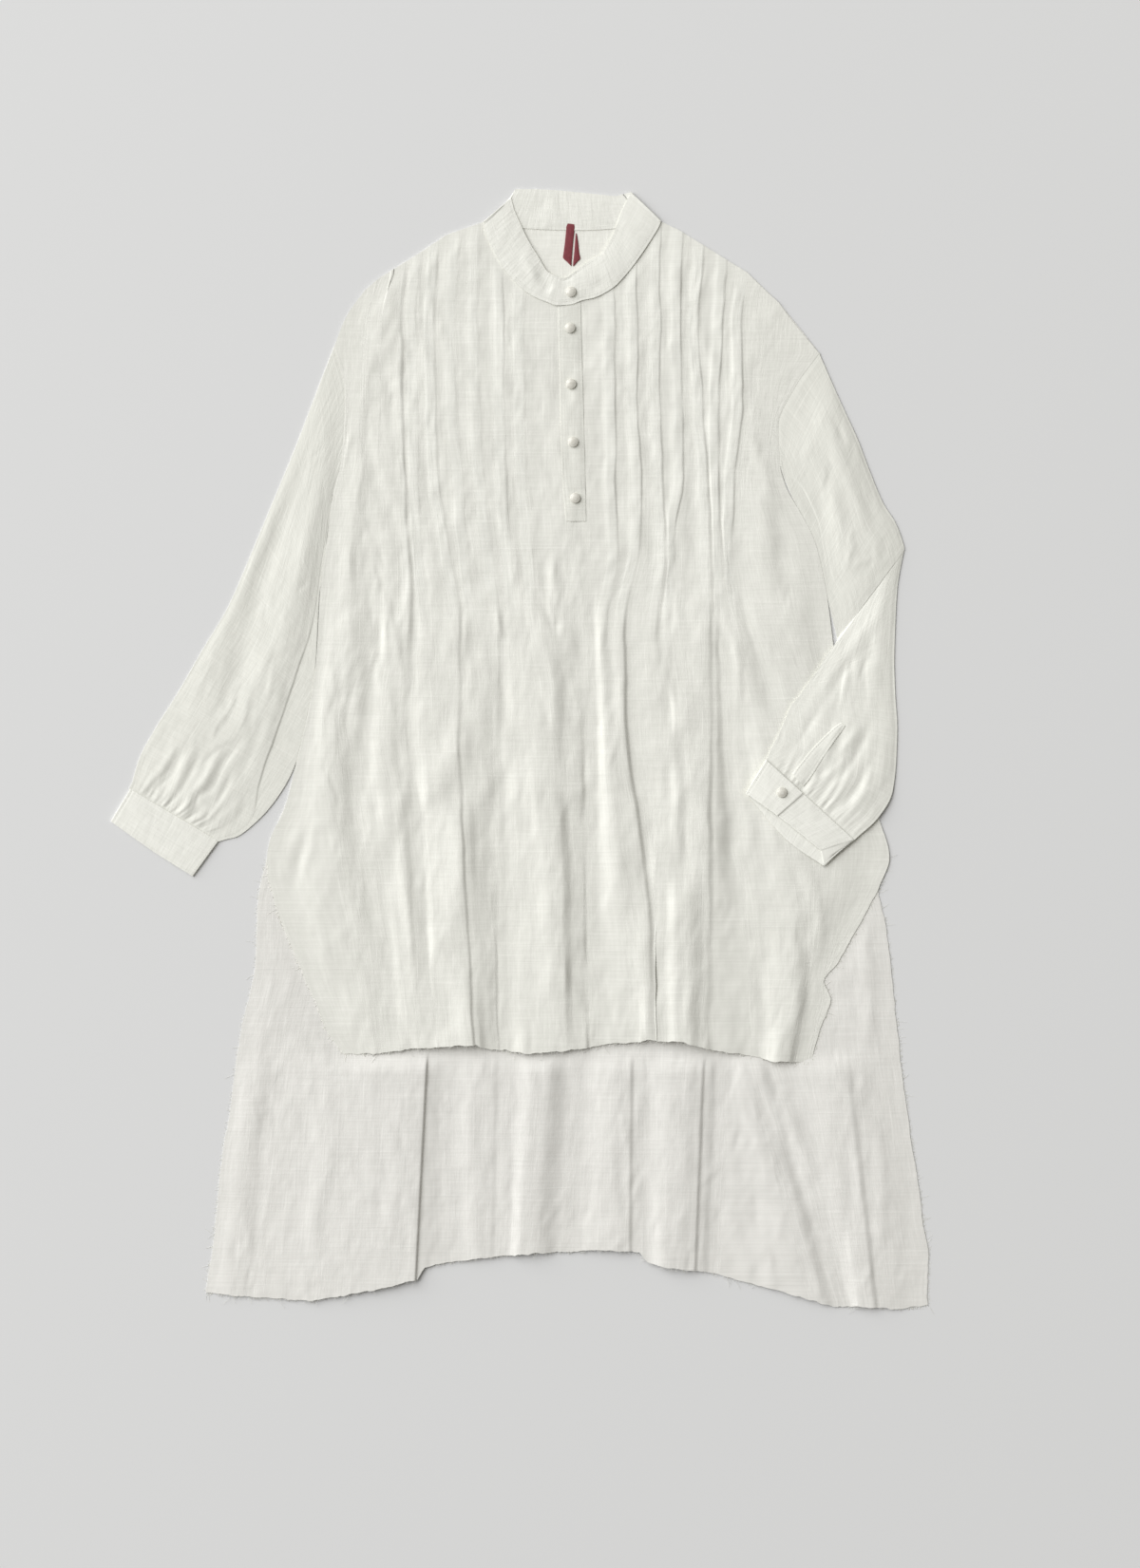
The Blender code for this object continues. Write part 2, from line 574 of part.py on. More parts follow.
def build_back():
    """The back panel: flat on the table, with the folds that show below the front."""
    top_edge = SHOULDER_LEFT + [NECK_LEFT] + BACK_NECK + [NECK_RIGHT] + SHOULDER_RIGHT
    left = ARMHOLE_LEFT + SIDE_LEFT + BACK_SLIT_LEFT
    right = ARMHOLE_RIGHT + SIDE_RIGHT + BACK_SLIT_RIGHT
    narrowing = (right[0].x - left[0].x) / (right[-1].x - left[-1].x)
    lines = [side_line(left)] + [back_fold_line(fold, narrowing) for fold in BACK_FOLDS] + [side_line(right)]
    columns = panel_columns(lines, top_edge, [BACK_PARTS] * (len(lines) - 1))
    rows = panel_rows(columns, BACK_ROWS, (left, right), top_edge, BACK_HEM, BACK_TOP)
    under = [[Vector((p.x, p.y, p.z - CLOTH)) for p in row] for row in rows]
    return sheet_solid("back", rows, under, LINEN)


def front_fold_line(fold, top_edge):
    """The line of one tuck or fold of the front."""
    ys = [along(FRONT_HEM, fold.hem)] + list(reversed(FOLD_RUN_Y)) + [along(top_edge, fold.top)]
    xs = [fold.hem] + list(reversed(fold.run)) + [fold.top]
    pairs = (fold.bib, fold.release, fold.skirt, fold.edge)
    return Line(lambda y: curve(ys, xs, y), lambda y: level(pairs, y, 0), lambda y: level(pairs, y, 1),
                fold.top)


def build_front():
    """The front panel with its tucks and folds, raised off the back by the seam gap."""
    top_edge = SHOULDER_LEFT + [NECK_LEFT] + FRONT_NECK + [NECK_RIGHT] + SHOULDER_RIGHT
    left = ARMHOLE_LEFT + SIDE_LEFT + FRONT_SLIT_LEFT
    right = ARMHOLE_RIGHT + SIDE_RIGHT + FRONT_SLIT_RIGHT
    lines = [side_line(left)] + [front_fold_line(fold, top_edge) for fold in FRONT_FOLDS] + [side_line(right)]
    spare = [PLAIN_PARTS] * 3 + [FOLD_PARTS] * (len(lines) - 6) + [PLAIN_PARTS] * 2
    columns = panel_columns(lines, top_edge, spare)
    rows = panel_rows(columns, FRONT_ROWS, (left, right), top_edge, FRONT_HEM, FRONT_BASE)
    under = [wall_under(row, CLOTH, FRONT_BASE - CLOTH) for row in rows]
    return sheet_solid("front", rows, under, LINEN)


class Tube:
    """The outer and inner loops of a flattened tube of cloth."""

    def __init__(self):
        self.outside = []
        self.inside = []

    def start_loop(self):
        """Begins the next loop along the tube."""
        self.outside.append([])
        self.inside.append([])

    def add(self, point, inner_point, z_out, z_in):
        """Adds a point of the wall to the loop: its outer face and, straight within, its inner face."""
        self.outside[-1].append(Vector((point.x, point.y, z_out)))
        self.inside[-1].append(Vector((inner_point.x, inner_point.y, z_in)))

    def solid(self, name, look):
        """Makes the piece."""
        return tube_solid(name, self.outside, self.inside, look)


def sleeve_columns():
    """Where the columns of a sleeve's upper layer stand: some to a gather, and one near each edge."""
    count = GATHER_COLUMNS * SLEEVE_GATHERS
    return [SLEEVE_EDGE] + [k / count for k in range(1, count)] + [1.0 - SLEEVE_EDGE]


def sleeve_height(section, number, gathered, f):
    """How high the upper layer of a sleeve stands at the share f of its width."""
    rounded = 1.0 - (2.0 * f - 1.0) ** SLEEVE_ROUND
    lap = section.lap / 100.0
    folded = 1.0 - ease((f - lap) / LAP_SOFTNESS)
    drape = math.sin(math.tau * SLEEVE_DRAPES * f + WAVE_TURN * number)
    gather = math.cos(math.tau * SLEEVE_GATHERS * f)
    wave = WAVE_DEPTH * section.wave * blend(drape, gather, gathered)
    return SLEEVE_FLAT + max(0.0, (section.loft + wave) * rounded * folded)


def sleeve_tube(sections, armhole, rest):
    """A flattened sleeve from its sections.

    armhole(y) is the line of its first section, rest(number, point) how high its lower layer lies.
    """
    tube = Tube()
    for number, section in enumerate(sections):
        gathered = ease(1.0 - (len(sections) - 1 - number) / GATHER_SECTIONS)
        inset = CLOTH / math.dist(section.outer, section.inner)
        tube.start_loop()

        def place(f, section=section, number=number):
            point = on_line([section.outer, section.inner], f)
            return point if number else Point(armhole(point.y), point.y)

        def add(f, z_out, z_in, place=place, inset=inset, number=number):
            base = rest(number, place(f))
            tube.add(place(f), place(min(max(f, inset), 1.0 - inset)), base + z_out, base + z_in)

        add(0.0, SLEEVE_FLAT / 2, SLEEVE_FLAT / 2)
        for f in sleeve_columns():
            z = sleeve_height(section, number, gathered, f)
            add(f, z, z - CLOTH)
        add(1.0, SLEEVE_FLAT / 2, SLEEVE_FLAT / 2)
        for f in SLEEVE_UNDER:
            add(f, 0.0, CLOTH)
    return tube


def beside(section, side, outward):
    """A section of a sleeve with its inner end clear of the body's side. outward is -1 or 1."""
    limit = across(side, section.inner.y) + outward * SIDE_GAP
    x = min(section.inner.x, limit) if outward < 0 else max(section.inner.x, limit)
    return section._replace(inner=Point(x, section.inner.y))


def build_sleeve_left():
    """The straight sleeve, flat on the table."""
    back_side = ARMHOLE_LEFT + SIDE_LEFT + BACK_SLIT_LEFT
    back_edge = edge_rows(back_side, BACK_ROWS)
    front_edge = edge_rows(ARMHOLE_LEFT + SIDE_LEFT + FRONT_SLIT_LEFT, FRONT_ROWS)

    def armhole(y):
        return min(chord(back_edge, y), chord(front_edge, y)) - EDGE_GAP

    sections = [beside(s, back_side, -1) for s in SLEEVE_LEFT]
    return sleeve_tube(sections, armhole, lambda number, point: 0.0).solid("sleeve_left", LINEN)


def build_sleeve_right(heights):
    """The bent sleeve: the upper arm on the table, the forearm on the front."""
    back_side = ARMHOLE_RIGHT + SIDE_RIGHT + BACK_SLIT_RIGHT
    back_edge = edge_rows(back_side, BACK_ROWS)
    front_edge = edge_rows(ARMHOLE_RIGHT + SIDE_RIGHT + FRONT_SLIT_RIGHT, FRONT_ROWS)

    def armhole(y):
        return max(chord(back_edge, y), chord(front_edge, y)) + EDGE_GAP

    def rest(number, point):
        return draped(heights, point) if number >= len(SLEEVE_RIGHT_UPPER) else 0.0

    sections = [beside(s, back_side, 1) for s in SLEEVE_RIGHT_UPPER] + SLEEVE_RIGHT_FOREARM
    return sleeve_tube(sections, armhole, rest).solid("sleeve_right", LINEN)


def draped(heights, point):
    """How high a layer lies that rests on the pieces around a place, and slopes off their edges."""
    near = heights.around(point.x, point.y, REST_NEAR)
    far = heights.around(point.x, point.y, REST_FAR)
    lift = max(near, far - REST_DROP)
    return lift + REST_GAP if near > 0.0 else max(0.0, lift)


def cuff_tube(seam, open_upper, open_lower, rest, overlap):
    """A flattened cuff, from its seam side to its open side. rest(point) is how high it lies."""
    tube = Tube()
    for step in CUFF_STEPS:
        tube.start_loop()

        def place(f, line, step=step):
            return on_line([on_line(seam, f), on_line(line, f)], step)

        inset = DOUBLED / math.dist(place(0.0, open_upper), place(1.0, open_upper))

        def add(f, line, z_out, z_in, place=place, inset=inset):
            base = rest(place(f, line))
            tube.add(place(f, line), place(min(max(f, inset), 1.0 - inset), line), base + z_out, base + z_in)

        add(0.0, open_upper, CUFF_FLAT / 2, CUFF_FLAT / 2)
        for f in CUFF_UPPER:
            z = CUFF_FLAT + CUFF_CROWN * (1.0 - (2.0 * f - 1.0) ** 4)
            z += overlap if f < CUFF_OVERLAP else 0.0
            add(f, open_upper, z, z - DOUBLED)
        add(1.0, open_upper, CUFF_FLAT / 2, CUFF_FLAT / 2)
        for f in CUFF_UNDER:
            add(f, open_lower, 0.0, DOUBLED)
    return tube


def build_cuff_left():
    """The left cuff, flat on the table, its opening underneath."""
    tube = cuff_tube(CUFF_LEFT_SEAM, CUFF_LEFT_OPEN, CUFF_LEFT_OPEN, lambda point: 0.0, 0.0)
    return tube.solid("cuff_left", BAND_LINEN)


def build_cuff_right(heights):
    """The right cuff, on the front, with its buttoned end on top."""
    tube = cuff_tube(CUFF_RIGHT_SEAM, CUFF_RIGHT_OPEN_UPPER, CUFF_RIGHT_OPEN_LOWER,
                     lambda point: draped(heights, point), CUFF_LAP)
    return tube.solid("cuff_right", BAND_LINEN)


def clear_front(band):
    """The band with its seam drawn in from the front's neck edge by the edge gap."""
    inward = Vector((NECK_CENTRE.x - band.seam.x, NECK_CENTRE.y - band.seam.y)).normalized() * EDGE_GAP
    return band._replace(seam=Point(band.seam.x + inward.x, band.seam.y + inward.y))


def clear_back(band):
    """The band with its seam just above the back's neck edge."""
    neck = [NECK_LEFT] + BACK_NECK + [NECK_RIGHT]
    return band._replace(seam=Point(band.seam.x, along(neck, band.seam.x) + EDGE_GAP))


def collar_tip(tube, band, share, beside_front, beside_back):
    """Adds the fold of the collar at a shoulder, its inner face towards the two halves beside it."""
    raised = band._replace(seam=Point(band.seam.x, band.seam.y + EDGE_GAP))
    point = on_line([raised.seam, raised.edge], share)
    z = blend(band.seam_z, band.edge_z, share)
    middle = on_line([beside_front.seam, beside_back.edge], 0.5)
    inward = Vector((middle.x - point.x, middle.y - point.y)).normalized() * DOUBLED
    tube.add(point, Point(point.x + inward.x, point.y + inward.y), z, z)


def build_collar():
    """The band collar: its front half over the back half, folded at the two shoulders."""
    tube = Tube()
    for share in COLLAR_STEPS:
        tube.start_loop()
        collar_tip(tube, COLLAR_TIP_LEFT, share, COLLAR_FRONT[0], COLLAR_BACK[-1])
        for band in map(clear_front, COLLAR_FRONT):
            point = on_line([band.seam, band.edge], share)
            z = blend(band.seam_z, band.edge_z, share)
            tube.add(point, point, z, z - DOUBLED)
        collar_tip(tube, COLLAR_TIP_RIGHT, share, COLLAR_FRONT[-1], COLLAR_BACK[0])
        for band in map(clear_back, COLLAR_BACK):
            point = on_line([band.seam, band.edge], share)
            z = blend(band.seam_z, band.edge_z, share)
            tube.add(point, point, z - DOUBLED, z)
    return tube.solid("collar", BAND_LINEN)


def split_rows(rows, steps):
    """The rows of a strip with steps - 1 more between each two."""
    fine = []
    for a, b in zip(rows, rows[1:]):
        for k in range(steps):
            fine.append(Row(on_line([a.left, b.left], k / steps), on_line([a.right, b.right], k / steps)))
    return fine + [rows[-1]]


def laid_strip(name, rows, heights, thickness, look, columns=4, steps=4, reach=3.0):
    """A flat strip that follows what it lies on, from its edge rows."""
    under = []
    for row in split_rows(rows, steps):
        points = [on_line([row.left, row.right], k / columns) for k in range(columns + 1)]
        under.append([Vector((p.x, p.y, heights.around(p.x, p.y, reach) + SEAM_GAP)) for p in points])
    top = [[p + Vector((0.0, 0.0, thickness)) for p in line] for line in under]
    return sheet_solid(name, top, under, look)


def build_button(name, centre, heights):
    """A small domed button, turned about its own axis."""
    base = heights.around(centre.x, centre.y, BUTTON_RADIUS) + SEAM_GAP
    turns = [math.tau * k / BUTTON_SIDES for k in range(BUTTON_SIDES)]
    mesh_builder = bmesh.new()
    rings = []
    for radius, height in BUTTON_PROFILE:
        reach = BUTTON_RADIUS * radius
        z = base + BUTTON_HEIGHT * height
        ring = [(centre.x + reach * math.cos(turn), centre.y + reach * math.sin(turn), z) for turn in turns]
        rings.append([mesh_builder.verts.new(point) for point in ring])
    for one, two in zip(rings, rings[1:]):
        strip_faces(mesh_builder, one, two, closed=True)
    crown = mesh_builder.verts.new((centre.x, centre.y, base + BUTTON_HEIGHT))
    for a, b in zip(rings[-1], rings[-1][1:] + rings[-1][:1]):
        mesh_builder.faces.new((a, b, crown))
    mesh_builder.faces.new(rings[0])
    return finish(mesh_builder, name, BUTTON_SHELL)


def main():
    """Clears the scene and builds every piece, from the table up."""
    for old in list(bpy.data.objects):
        bpy.data.objects.remove(old)
    back = build_back()
    front = build_front()
    build_sleeve_left()
    build_cuff_left()
    collar = build_collar()
    body = Heights(back, front)
    sleeve_right = build_sleeve_right(body)
    cuff_right = build_cuff_right(body)
    placket = laid_strip("placket", PLACKET, body, PLACKET_CLOTH, BAND_LINEN)
    laid_strip("sleeve_placket_right", SLEEVE_STRIP, Heights(sleeve_right), CLOTH, BAND_LINEN, steps=3)
    laid_strip("neck_loop", NECK_LOOP, Heights(back, collar), RIBBON, RIBBON_RED, columns=2, steps=2)
    fronts = Heights(front, placket, collar)
    for number, centre in enumerate(PLACKET_BUTTONS, start=1):
        build_button(f"button_{number}", centre, fronts)
    build_button("cuff_button", CUFF_BUTTON, Heights(cuff_right))


main()
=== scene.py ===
"""The looks of a washed-linen popover tunic, laid out flat on its back.

Lengths are in millimetres until a mesh is made, and the frame is the CAD model's: X to the viewer's
right, Y towards the neck, Z up from the table. Left and right are the viewer's.
"""
from __future__ import annotations

import logging
import math
from collections.abc import Callable, Sequence
from dataclasses import dataclass, field
from enum import Enum
from typing import NamedTuple

import bmesh
import bpy
import numpy as np
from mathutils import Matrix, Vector
from mathutils.bvhtree import BVHTree

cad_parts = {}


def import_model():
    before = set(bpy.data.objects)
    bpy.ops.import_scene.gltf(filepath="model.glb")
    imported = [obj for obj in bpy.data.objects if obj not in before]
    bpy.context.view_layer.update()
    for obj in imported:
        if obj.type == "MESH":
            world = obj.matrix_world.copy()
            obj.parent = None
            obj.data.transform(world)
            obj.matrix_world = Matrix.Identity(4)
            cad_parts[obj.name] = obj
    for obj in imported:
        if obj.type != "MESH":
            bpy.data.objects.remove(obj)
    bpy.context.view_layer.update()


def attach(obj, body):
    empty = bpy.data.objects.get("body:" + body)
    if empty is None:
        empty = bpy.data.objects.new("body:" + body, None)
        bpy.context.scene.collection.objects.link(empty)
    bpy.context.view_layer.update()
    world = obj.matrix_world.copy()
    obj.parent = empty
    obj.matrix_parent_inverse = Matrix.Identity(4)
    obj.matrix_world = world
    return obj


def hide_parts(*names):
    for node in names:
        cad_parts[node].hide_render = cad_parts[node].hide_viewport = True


LOG = logging.getLogger("tunic")
METRES = 0.001

# A place on the table, x and y, a line of such places, what changes with the height on a panel, a colour
Point = tuple[float, float]
Outline = Sequence[Point]
Along = Callable[[np.ndarray], np.ndarray]
Colour = tuple[float, float, float, float]

# Stacking of the cloth, as in the solids
BACK_TOP = 0.65
FRONT_BASE = 1.6
SLEEVE_FLAT = 1.1
CUFF_FLAT = 2.1
ABOVE = 600.0
BELOW = -600.0


class Slot(Enum):
    """The names of the material slots that cuts and threads carry."""

    LINEN = "linen"
    BAND = "band_linen"
    SHELL = "button_shell"
    RIBBON = "ribbon"


class Fold(NamedTuple):
    """A fold line of the front: its x at the top edge, down its run and at the hem.

    Each pair is how high the cloth stands left and right of the line: on the bib, where the tucks
    are released, on the skirt and at the hem. crisp says at the same four places how sharp the edge is.
    """

    name: str
    top: float
    run: tuple[float, ...]
    hem: float
    bib: tuple[float, float]
    release: tuple[float, float]
    skirt: tuple[float, float]
    edge: tuple[float, float]
    crisp: Colour = (0.0, 0.0, 0.0, 0.0)


class BackFold(NamedTuple):
    """A fold line of the back: its x below the front's hem and at the back's hem, and its heights."""

    name: str
    x1: float
    x2: float
    left: float
    right: float
    crisp: float = 0.0


class Section(NamedTuple):
    """A section of a flat sleeve, from its outer to its inner edge.

    lap is how far along, in hundredths, the top layer folds down, loft how high it stands and wave
    how deep its lengthwise folds are.
    """

    outer: Point
    inner: Point
    lap: float
    loft: float
    wave: float


class Band(NamedTuple):
    """A place along the collar: its seam and its top edge, with the heights of the upper face."""

    seam: Point
    edge: Point
    seam_z: float
    edge_z: float


class Row(NamedTuple):
    """The two edges of a strip at one place along it."""

    left: Point
    right: Point


class Crease(NamedTuple):
    """A soft ridge or trough through points on the table.

    left and right are how far it spreads on the two sides of its direction, rise how high it stands,
    below 0 for a trough.
    """

    points: Outline
    left: float
    right: float
    rise: float


# The outline of the front and back, top to bottom and left to right
SHOULDER_LEFT = [(-186, 401), (-154, 459), (-131, 476), (-102, 494), (-74, 513)]
NECK_LEFT = (-37, 526)
NECK_RIGHT = (140, 527)
SHOULDER_RIGHT = [(159, 518), (188, 500), (228, 475), (259, 445), (283, 416), (299, 395)]
FRONT_NECK = [
    (-27, 501), (-17, 483), (-3, 466), (12, 454), (28, 447), (38, 443), (51, 445), (61, 449), (75, 452),
    (93, 462), (103, 472), (117, 490), (131, 511)
]
BACK_NECK = [(-7, 521), (50, 518), (97, 520)]
ARMHOLE_LEFT = [(-186, 401), (-175, 352), (-178, 291), (-189, 247)]
ARMHOLE_RIGHT = [(299, 395), (274, 360), (258, 322), (260, 282)]
SIDE_LEFT = [(-192, 217), (-199, 168), (-204, 86), (-225, -20), (-235, -59), (-250, -92)]
SIDE_RIGHT = [
    (266, 261), (280, 236), (293, 211), (299, 191), (307, 150), (313, 104), (323, 36), (340, -21),
    (358, -69)
]
FRONT_SLIT_LEFT = [(-253, -111), (-244, -157), (-223, -210), (-204, -255), (-189, -289), (-176, -305)]
FRONT_SLIT_RIGHT = [
    (369, -109), (365, -125), (356, -144), (334, -185), (318, -214), (304, -233), (310, -250), (299, -283),
    (291, -313)
]
BACK_SLIT_LEFT = [
    (-253, -111), (-263, -160), (-264, -207), (-280, -289), (-289, -355), (-300, -425), (-305, -481),
    (-314, -544)
]
BACK_SLIT_RIGHT = [
    (369, -109), (358, -142), (365, -176), (371, -223), (375, -264), (382, -327), (390, -387), (399, -444),
    (403, -478), (408, -506), (407, -557)
]
FRONT_HEM = [
    (-176, -305), (-141, -305), (-110, -300), (-78, -298), (-43, -296), (-40, -299), (10, -305), (36, -303),
    (88, -296), (129, -292), (164, -293), (186, -301), (224, -306), (255, -313), (291, -313)
]
BACK_HEM = [
    (-314, -544), (-289, -547), (-210, -552), (-153, -542), (-103, -530), (-101, -519), (-53, -511),
    (10, -504), (50, -503), (88, -501), (119, -504), (126, -513), (145, -519), (182, -523), (224, -532),
    (277, -544), (324, -557), (380, -560), (407, -557)
]

# The front's tucks and folds. run is read at the heights FOLD_RUN_Y, the pairs at FOLD_LEVEL_Y
FOLD_RUN_Y = (425, 350, 275, 200, 120, 25, -85, -200)
FOLD_LEVEL_Y = (235, 150, -60, -290)
FRONT_FOLDS = [
    Fold("left drape", -154, (-162, -165, -169, -176, -182, -191, -184, -167), -150,
         (1.2, 1.2), (2.4, 2.4), (3.0, 3.0), (1.2, 1.2)),
    Fold("left side trough", -131, (-145, -146, -147, -146, -146, -166, -152, -135), -126,
         (3.0, 3.0), (0.8, 0.8), (0.8, 0.8), (1.6, 1.6)),
    Fold("left side ridge", -124, (-132, -133, -131, -129, -128, -137, -124, -115), -108,
         (4.0, 4.0), (2.4, 2.4), (2.6, 2.6), (2.4, 2.4)),
    Fold("long edge", -114, (-119, -117, -115, -112, -110, -115, -103, -98), -92,
         (4.4, 0.0), (2.2, 1.0), (1.0, 1.0), (3.2, 3.2), (0.7, 0.36, 0.06, 0.0)),
    Fold("left tuck 6", -99, (-104, -103, -101, -99, -91, -89, -85, -80), -76,
         (2.2, 0.0), (2.2, 1.9), (4.0, 4.0), (4.4, 4.4), (0.8, 0.24, 0.0, 0.0)),
    Fold("left tuck 5, then the deep lap", -81, (-85, -84, -82, -71, -60, -61, -57, -51), -46,
         (3.4, 0.0), (2.8, 1.6), (5.6, 4.3), (6.0, 4.7), (0.8, 0.6, 0.5, 0.63)),
    Fold("left tuck 4", -60, (-65, -64, -58, -53, -44, -41, -38, -32), -28,
         (2.2, 0.0), (1.9, 1.9), (3.3, 3.3), (2.2, 2.2), (0.6, 0.12, 0.0, 0.0)),
    Fold("left tuck 3", -40, (-42, -40, -37, -28, -21, -21, -18, -17), -15,
         (2.2, 0.0), (1.9, 1.1), (1.7, 1.3), (1.2, 1.2), (0.6, 0.48, 0.33, 0.0)),
    Fold("left tuck 2, then the broad rise", -17, (-17, -16, -14, -9, -2, 2, 5, 8), 10,
         (3.2, 0.0), (2.4, 2.2), (3.6, 3.6), (3.4, 3.4), (0.8, 0.18, 0.0, 0.0)),
    Fold("left tuck 1, then the broad ridge", 4, (3, 4, 7, 11, 19, 30, 34, 37), 39,
         (2.2, 0.0), (2.8, 2.8), (5.2, 5.2), (5.2, 5.2), (0.6, 0.12, 0.0, 0.0)),
    Fold("placket left", 38, (38, 40, 42, 46, 46, 52, 56, 58), 60,
         (0.0, 0.0), (1.7, 1.7), (2.5, 2.5), (2.7, 2.7)),
    Fold("placket right", 61, (62, 63, 65, 68, 68, 71, 72, 74), 76,
         (0.0, 0.0), (0.9, 0.9), (1.0, 1.0), (1.3, 1.3)),
    Fold("right tuck 1", 93, (95, 95, 95, 98, 86, 89, 95, 109), 114,
         (4.4, 0.0), (2.1, 1.0), (3.8, 3.8), (3.6, 3.6), (1.0, 0.54, 0.06, 0.0)),
    Fold("right tuck 2, then the deep pleat", 116, (117, 117, 121, 119, 105, 106, 120, 131), 132,
         (4.6, 0.0), (2.3, 1.0), (4.6, 1.8), (4.8, 4.5), (1.0, 0.54, 0.44, 0.28)),
    Fold("right tuck 3", 141, (140, 140, 143, 145, 137, 145, 142, 140), 141,
         (4.6, 0.0), (2.1, 1.1), (3.8, 3.8), (4.9, 4.9), (1.0, 0.48, 0.11, 0.14)),
    Fold("right tuck 4", 163, (160, 163, 163, 153, 152, 160, 162, 162), 162,
         (4.8, 0.0), (2.0, 1.6), (5.0, 5.0), (6.2, 6.2), (1.0, 0.42, 0.06, 0.0)),
    Fold("right tuck 5, then the long trough", 184, (178, 182, 188, 190, 191, 191, 190, 189), 187,
         (4.8, 0.0), (2.5, 1.3), (5.2, 3.8), (4.8, 3.0), (1.0, 0.54, 0.33, 0.07)),
    Fold("right tuck 6", 207, (203, 199, 198, 201, 204, 208, 217, 230), 234,
         (4.6, 0.0), (1.4, 1.4), (1.0, 1.0), (0.6, 0.6), (1.0, 0.36, 0.0, 0.0)),
    Fold("right tuck 7", 228, (221, 223, 215, 212, 226, 250, 266, 278), 262,
         (4.4, 0.0), (2.6, 2.0), (3.6, 3.6), (4.4, 4.4), (1.0, 0.36, 0.06, 0.0)),
    Fold("right drape", 259, (257, 247, 240, 254, 273, 295, 312, 302), 280,
         (3.0, 3.0), (2.0, 2.0), (1.6, 1.6), (1.2, 1.2)),
]
BACK_FOLD_TOP = -301
BACK_FOLD_HEM = -530
BACK_FOLDS = [
    BackFold("left edge ridge", -262, -283, 1.0, 1.0),
    BackFold("left edge trough", -236, -260, 0.6, 0.6),
    BackFold("left swell", -188, -200, 2.0, 2.0),
    BackFold("left ridge", -114, -122, 4.6, 4.6),
    BackFold("left lap", -92, -104, 4.6, 2.0, 0.9),
    BackFold("left foot", -70, -70, 0.6, 0.6),
    BackFold("left rise", -33, -38, 2.6, 2.6),
    BackFold("small trough", -14, -18, 2.0, 2.0),
    BackFold("middle ridge", 21, 4, 4.8, 4.8),
    BackFold("middle trough", 57, 44, 0.8, 0.8),
    BackFold("seam ridge", 103, 101, 3.8, 3.8),
    BackFold("seam line", 121, 119, 2.4, 2.4),
    BackFold("right ridge", 161, 152, 5.2, 5.2),
    BackFold("right lap", 184, 175, 4.2, 2.2, 0.5),
    BackFold("right foot", 204, 196, 0.6, 0.6),
    BackFold("diagonal ridge", 226, 288, 2.8, 2.8),
    BackFold("diagonal trough", 253, 314, 0.4, 0.4),
    BackFold("far ridge", 316, 343, 3.2, 3.2),
    BackFold("far trough", 338, 362, 1.4, 1.4),
]
SLEEVE_LEFT = [
    Section((-186, 401), (-189, 247), 100, 0.3, 0.0),
    Section((-205, 352), (-192, 220), 99, 1.6, 0.2),
    Section((-224, 302), (-196, 188), 98, 2.2, 0.5),
    Section((-245, 251), (-201, 148), 96, 2.4, 0.7),
    Section((-268, 196), (-203, 108), 90, 2.4, 0.8),
    Section((-292, 141), (-206, 66), 82, 2.4, 0.9),
    Section((-317, 99), (-214, 25), 80, 2.4, 0.9),
    Section((-343, 54), (-225, -17), 79, 2.4, 0.9),
    Section((-365, 19), (-241, -47), 84, 2.3, 1.0),
    Section((-380, -9), (-262, -72), 95, 2.1, 1.2),
    Section((-386, -28), (-285, -89), 99, 1.5, 1.3),
    Section((-389, -40), (-301, -92), 100, 0.6, 0.8),
]
SLEEVE_RIGHT_UPPER = [
    Section((299, 395), (260, 282), 100, 0.3, 0.0),
    Section((312, 365), (265, 267), 93, 1.6, 0.2),
    Section((325, 336), (276, 243), 84, 2.2, 0.4),
    Section((337, 310), (289, 218), 86, 2.4, 0.5),
    Section((348, 281), (300, 186), 92, 2.4, 0.6),
    Section((363, 245), (306, 156), 95, 2.4, 0.6),
    Section((376, 224), (313, 126), 98, 2.2, 0.5),
    Section((384, 200), (317, 109), 99, 1.6, 0.3),
]
SLEEVE_RIGHT_FOREARM = [
    Section((383, 195), (315, 105), 100, 2.0, 0.2),
    Section((377, 160), (305, 91), 100, 2.6, 0.5),
    Section((375, 124), (297, 78), 100, 2.8, 0.7),
    Section((374, 87), (288, 66), 100, 2.9, 0.8),
    Section((375, 53), (279, 53), 100, 2.9, 0.9),
    Section((377, 21), (270, 42), 100, 2.8, 0.9),
    Section((376, -11), (264, 28), 100, 2.6, 1.0),
    Section((372, -44), (258, 14), 100, 2.3, 1.1),
    Section((357, -70), (251, 1), 100, 1.6, 1.2),
    Section((334, -91), (246, -11), 100, 0.7, 0.8),
]
COLLAR_FRONT = [Band(seam, edge, 2.75, 2.6) for seam, edge in (
    ((-33, 514), (-6, 539)), ((-27, 501), (-1, 527)), ((-17, 483), (8, 508)), ((-3, 466), (19, 490)),
    ((12, 454), (27, 477)), ((28, 447), (36, 472)), ((37, 444), (42, 470)), ((39, 444), (44, 470)),
    ((51, 445), (53, 475)), ((62, 449), (62, 482)), ((75, 452), (71, 488)), ((93, 462), (82, 495)),
    ((103, 472), (88, 504)), ((117, 490), (94, 515)), ((131, 511), (98, 527)), ((137, 521), (104, 542)))]
COLLAR_BACK = [Band(seam, edge, 1.3, 1.5) for seam, edge in (
    ((126, 523), (103, 554)), ((107, 521), (95, 552)), ((88, 519), (85, 553)), ((59, 518), (55, 556)),
    ((31, 518), (34, 558)), ((2, 520), (12, 559)), ((-21, 522), (-4, 559)))]
COLLAR_TIP_LEFT = Band((-36, 527), (-9, 550), 2.5, 2.4)
COLLAR_TIP_RIGHT = Band((140, 528), (111, 556), 2.5, 2.4)
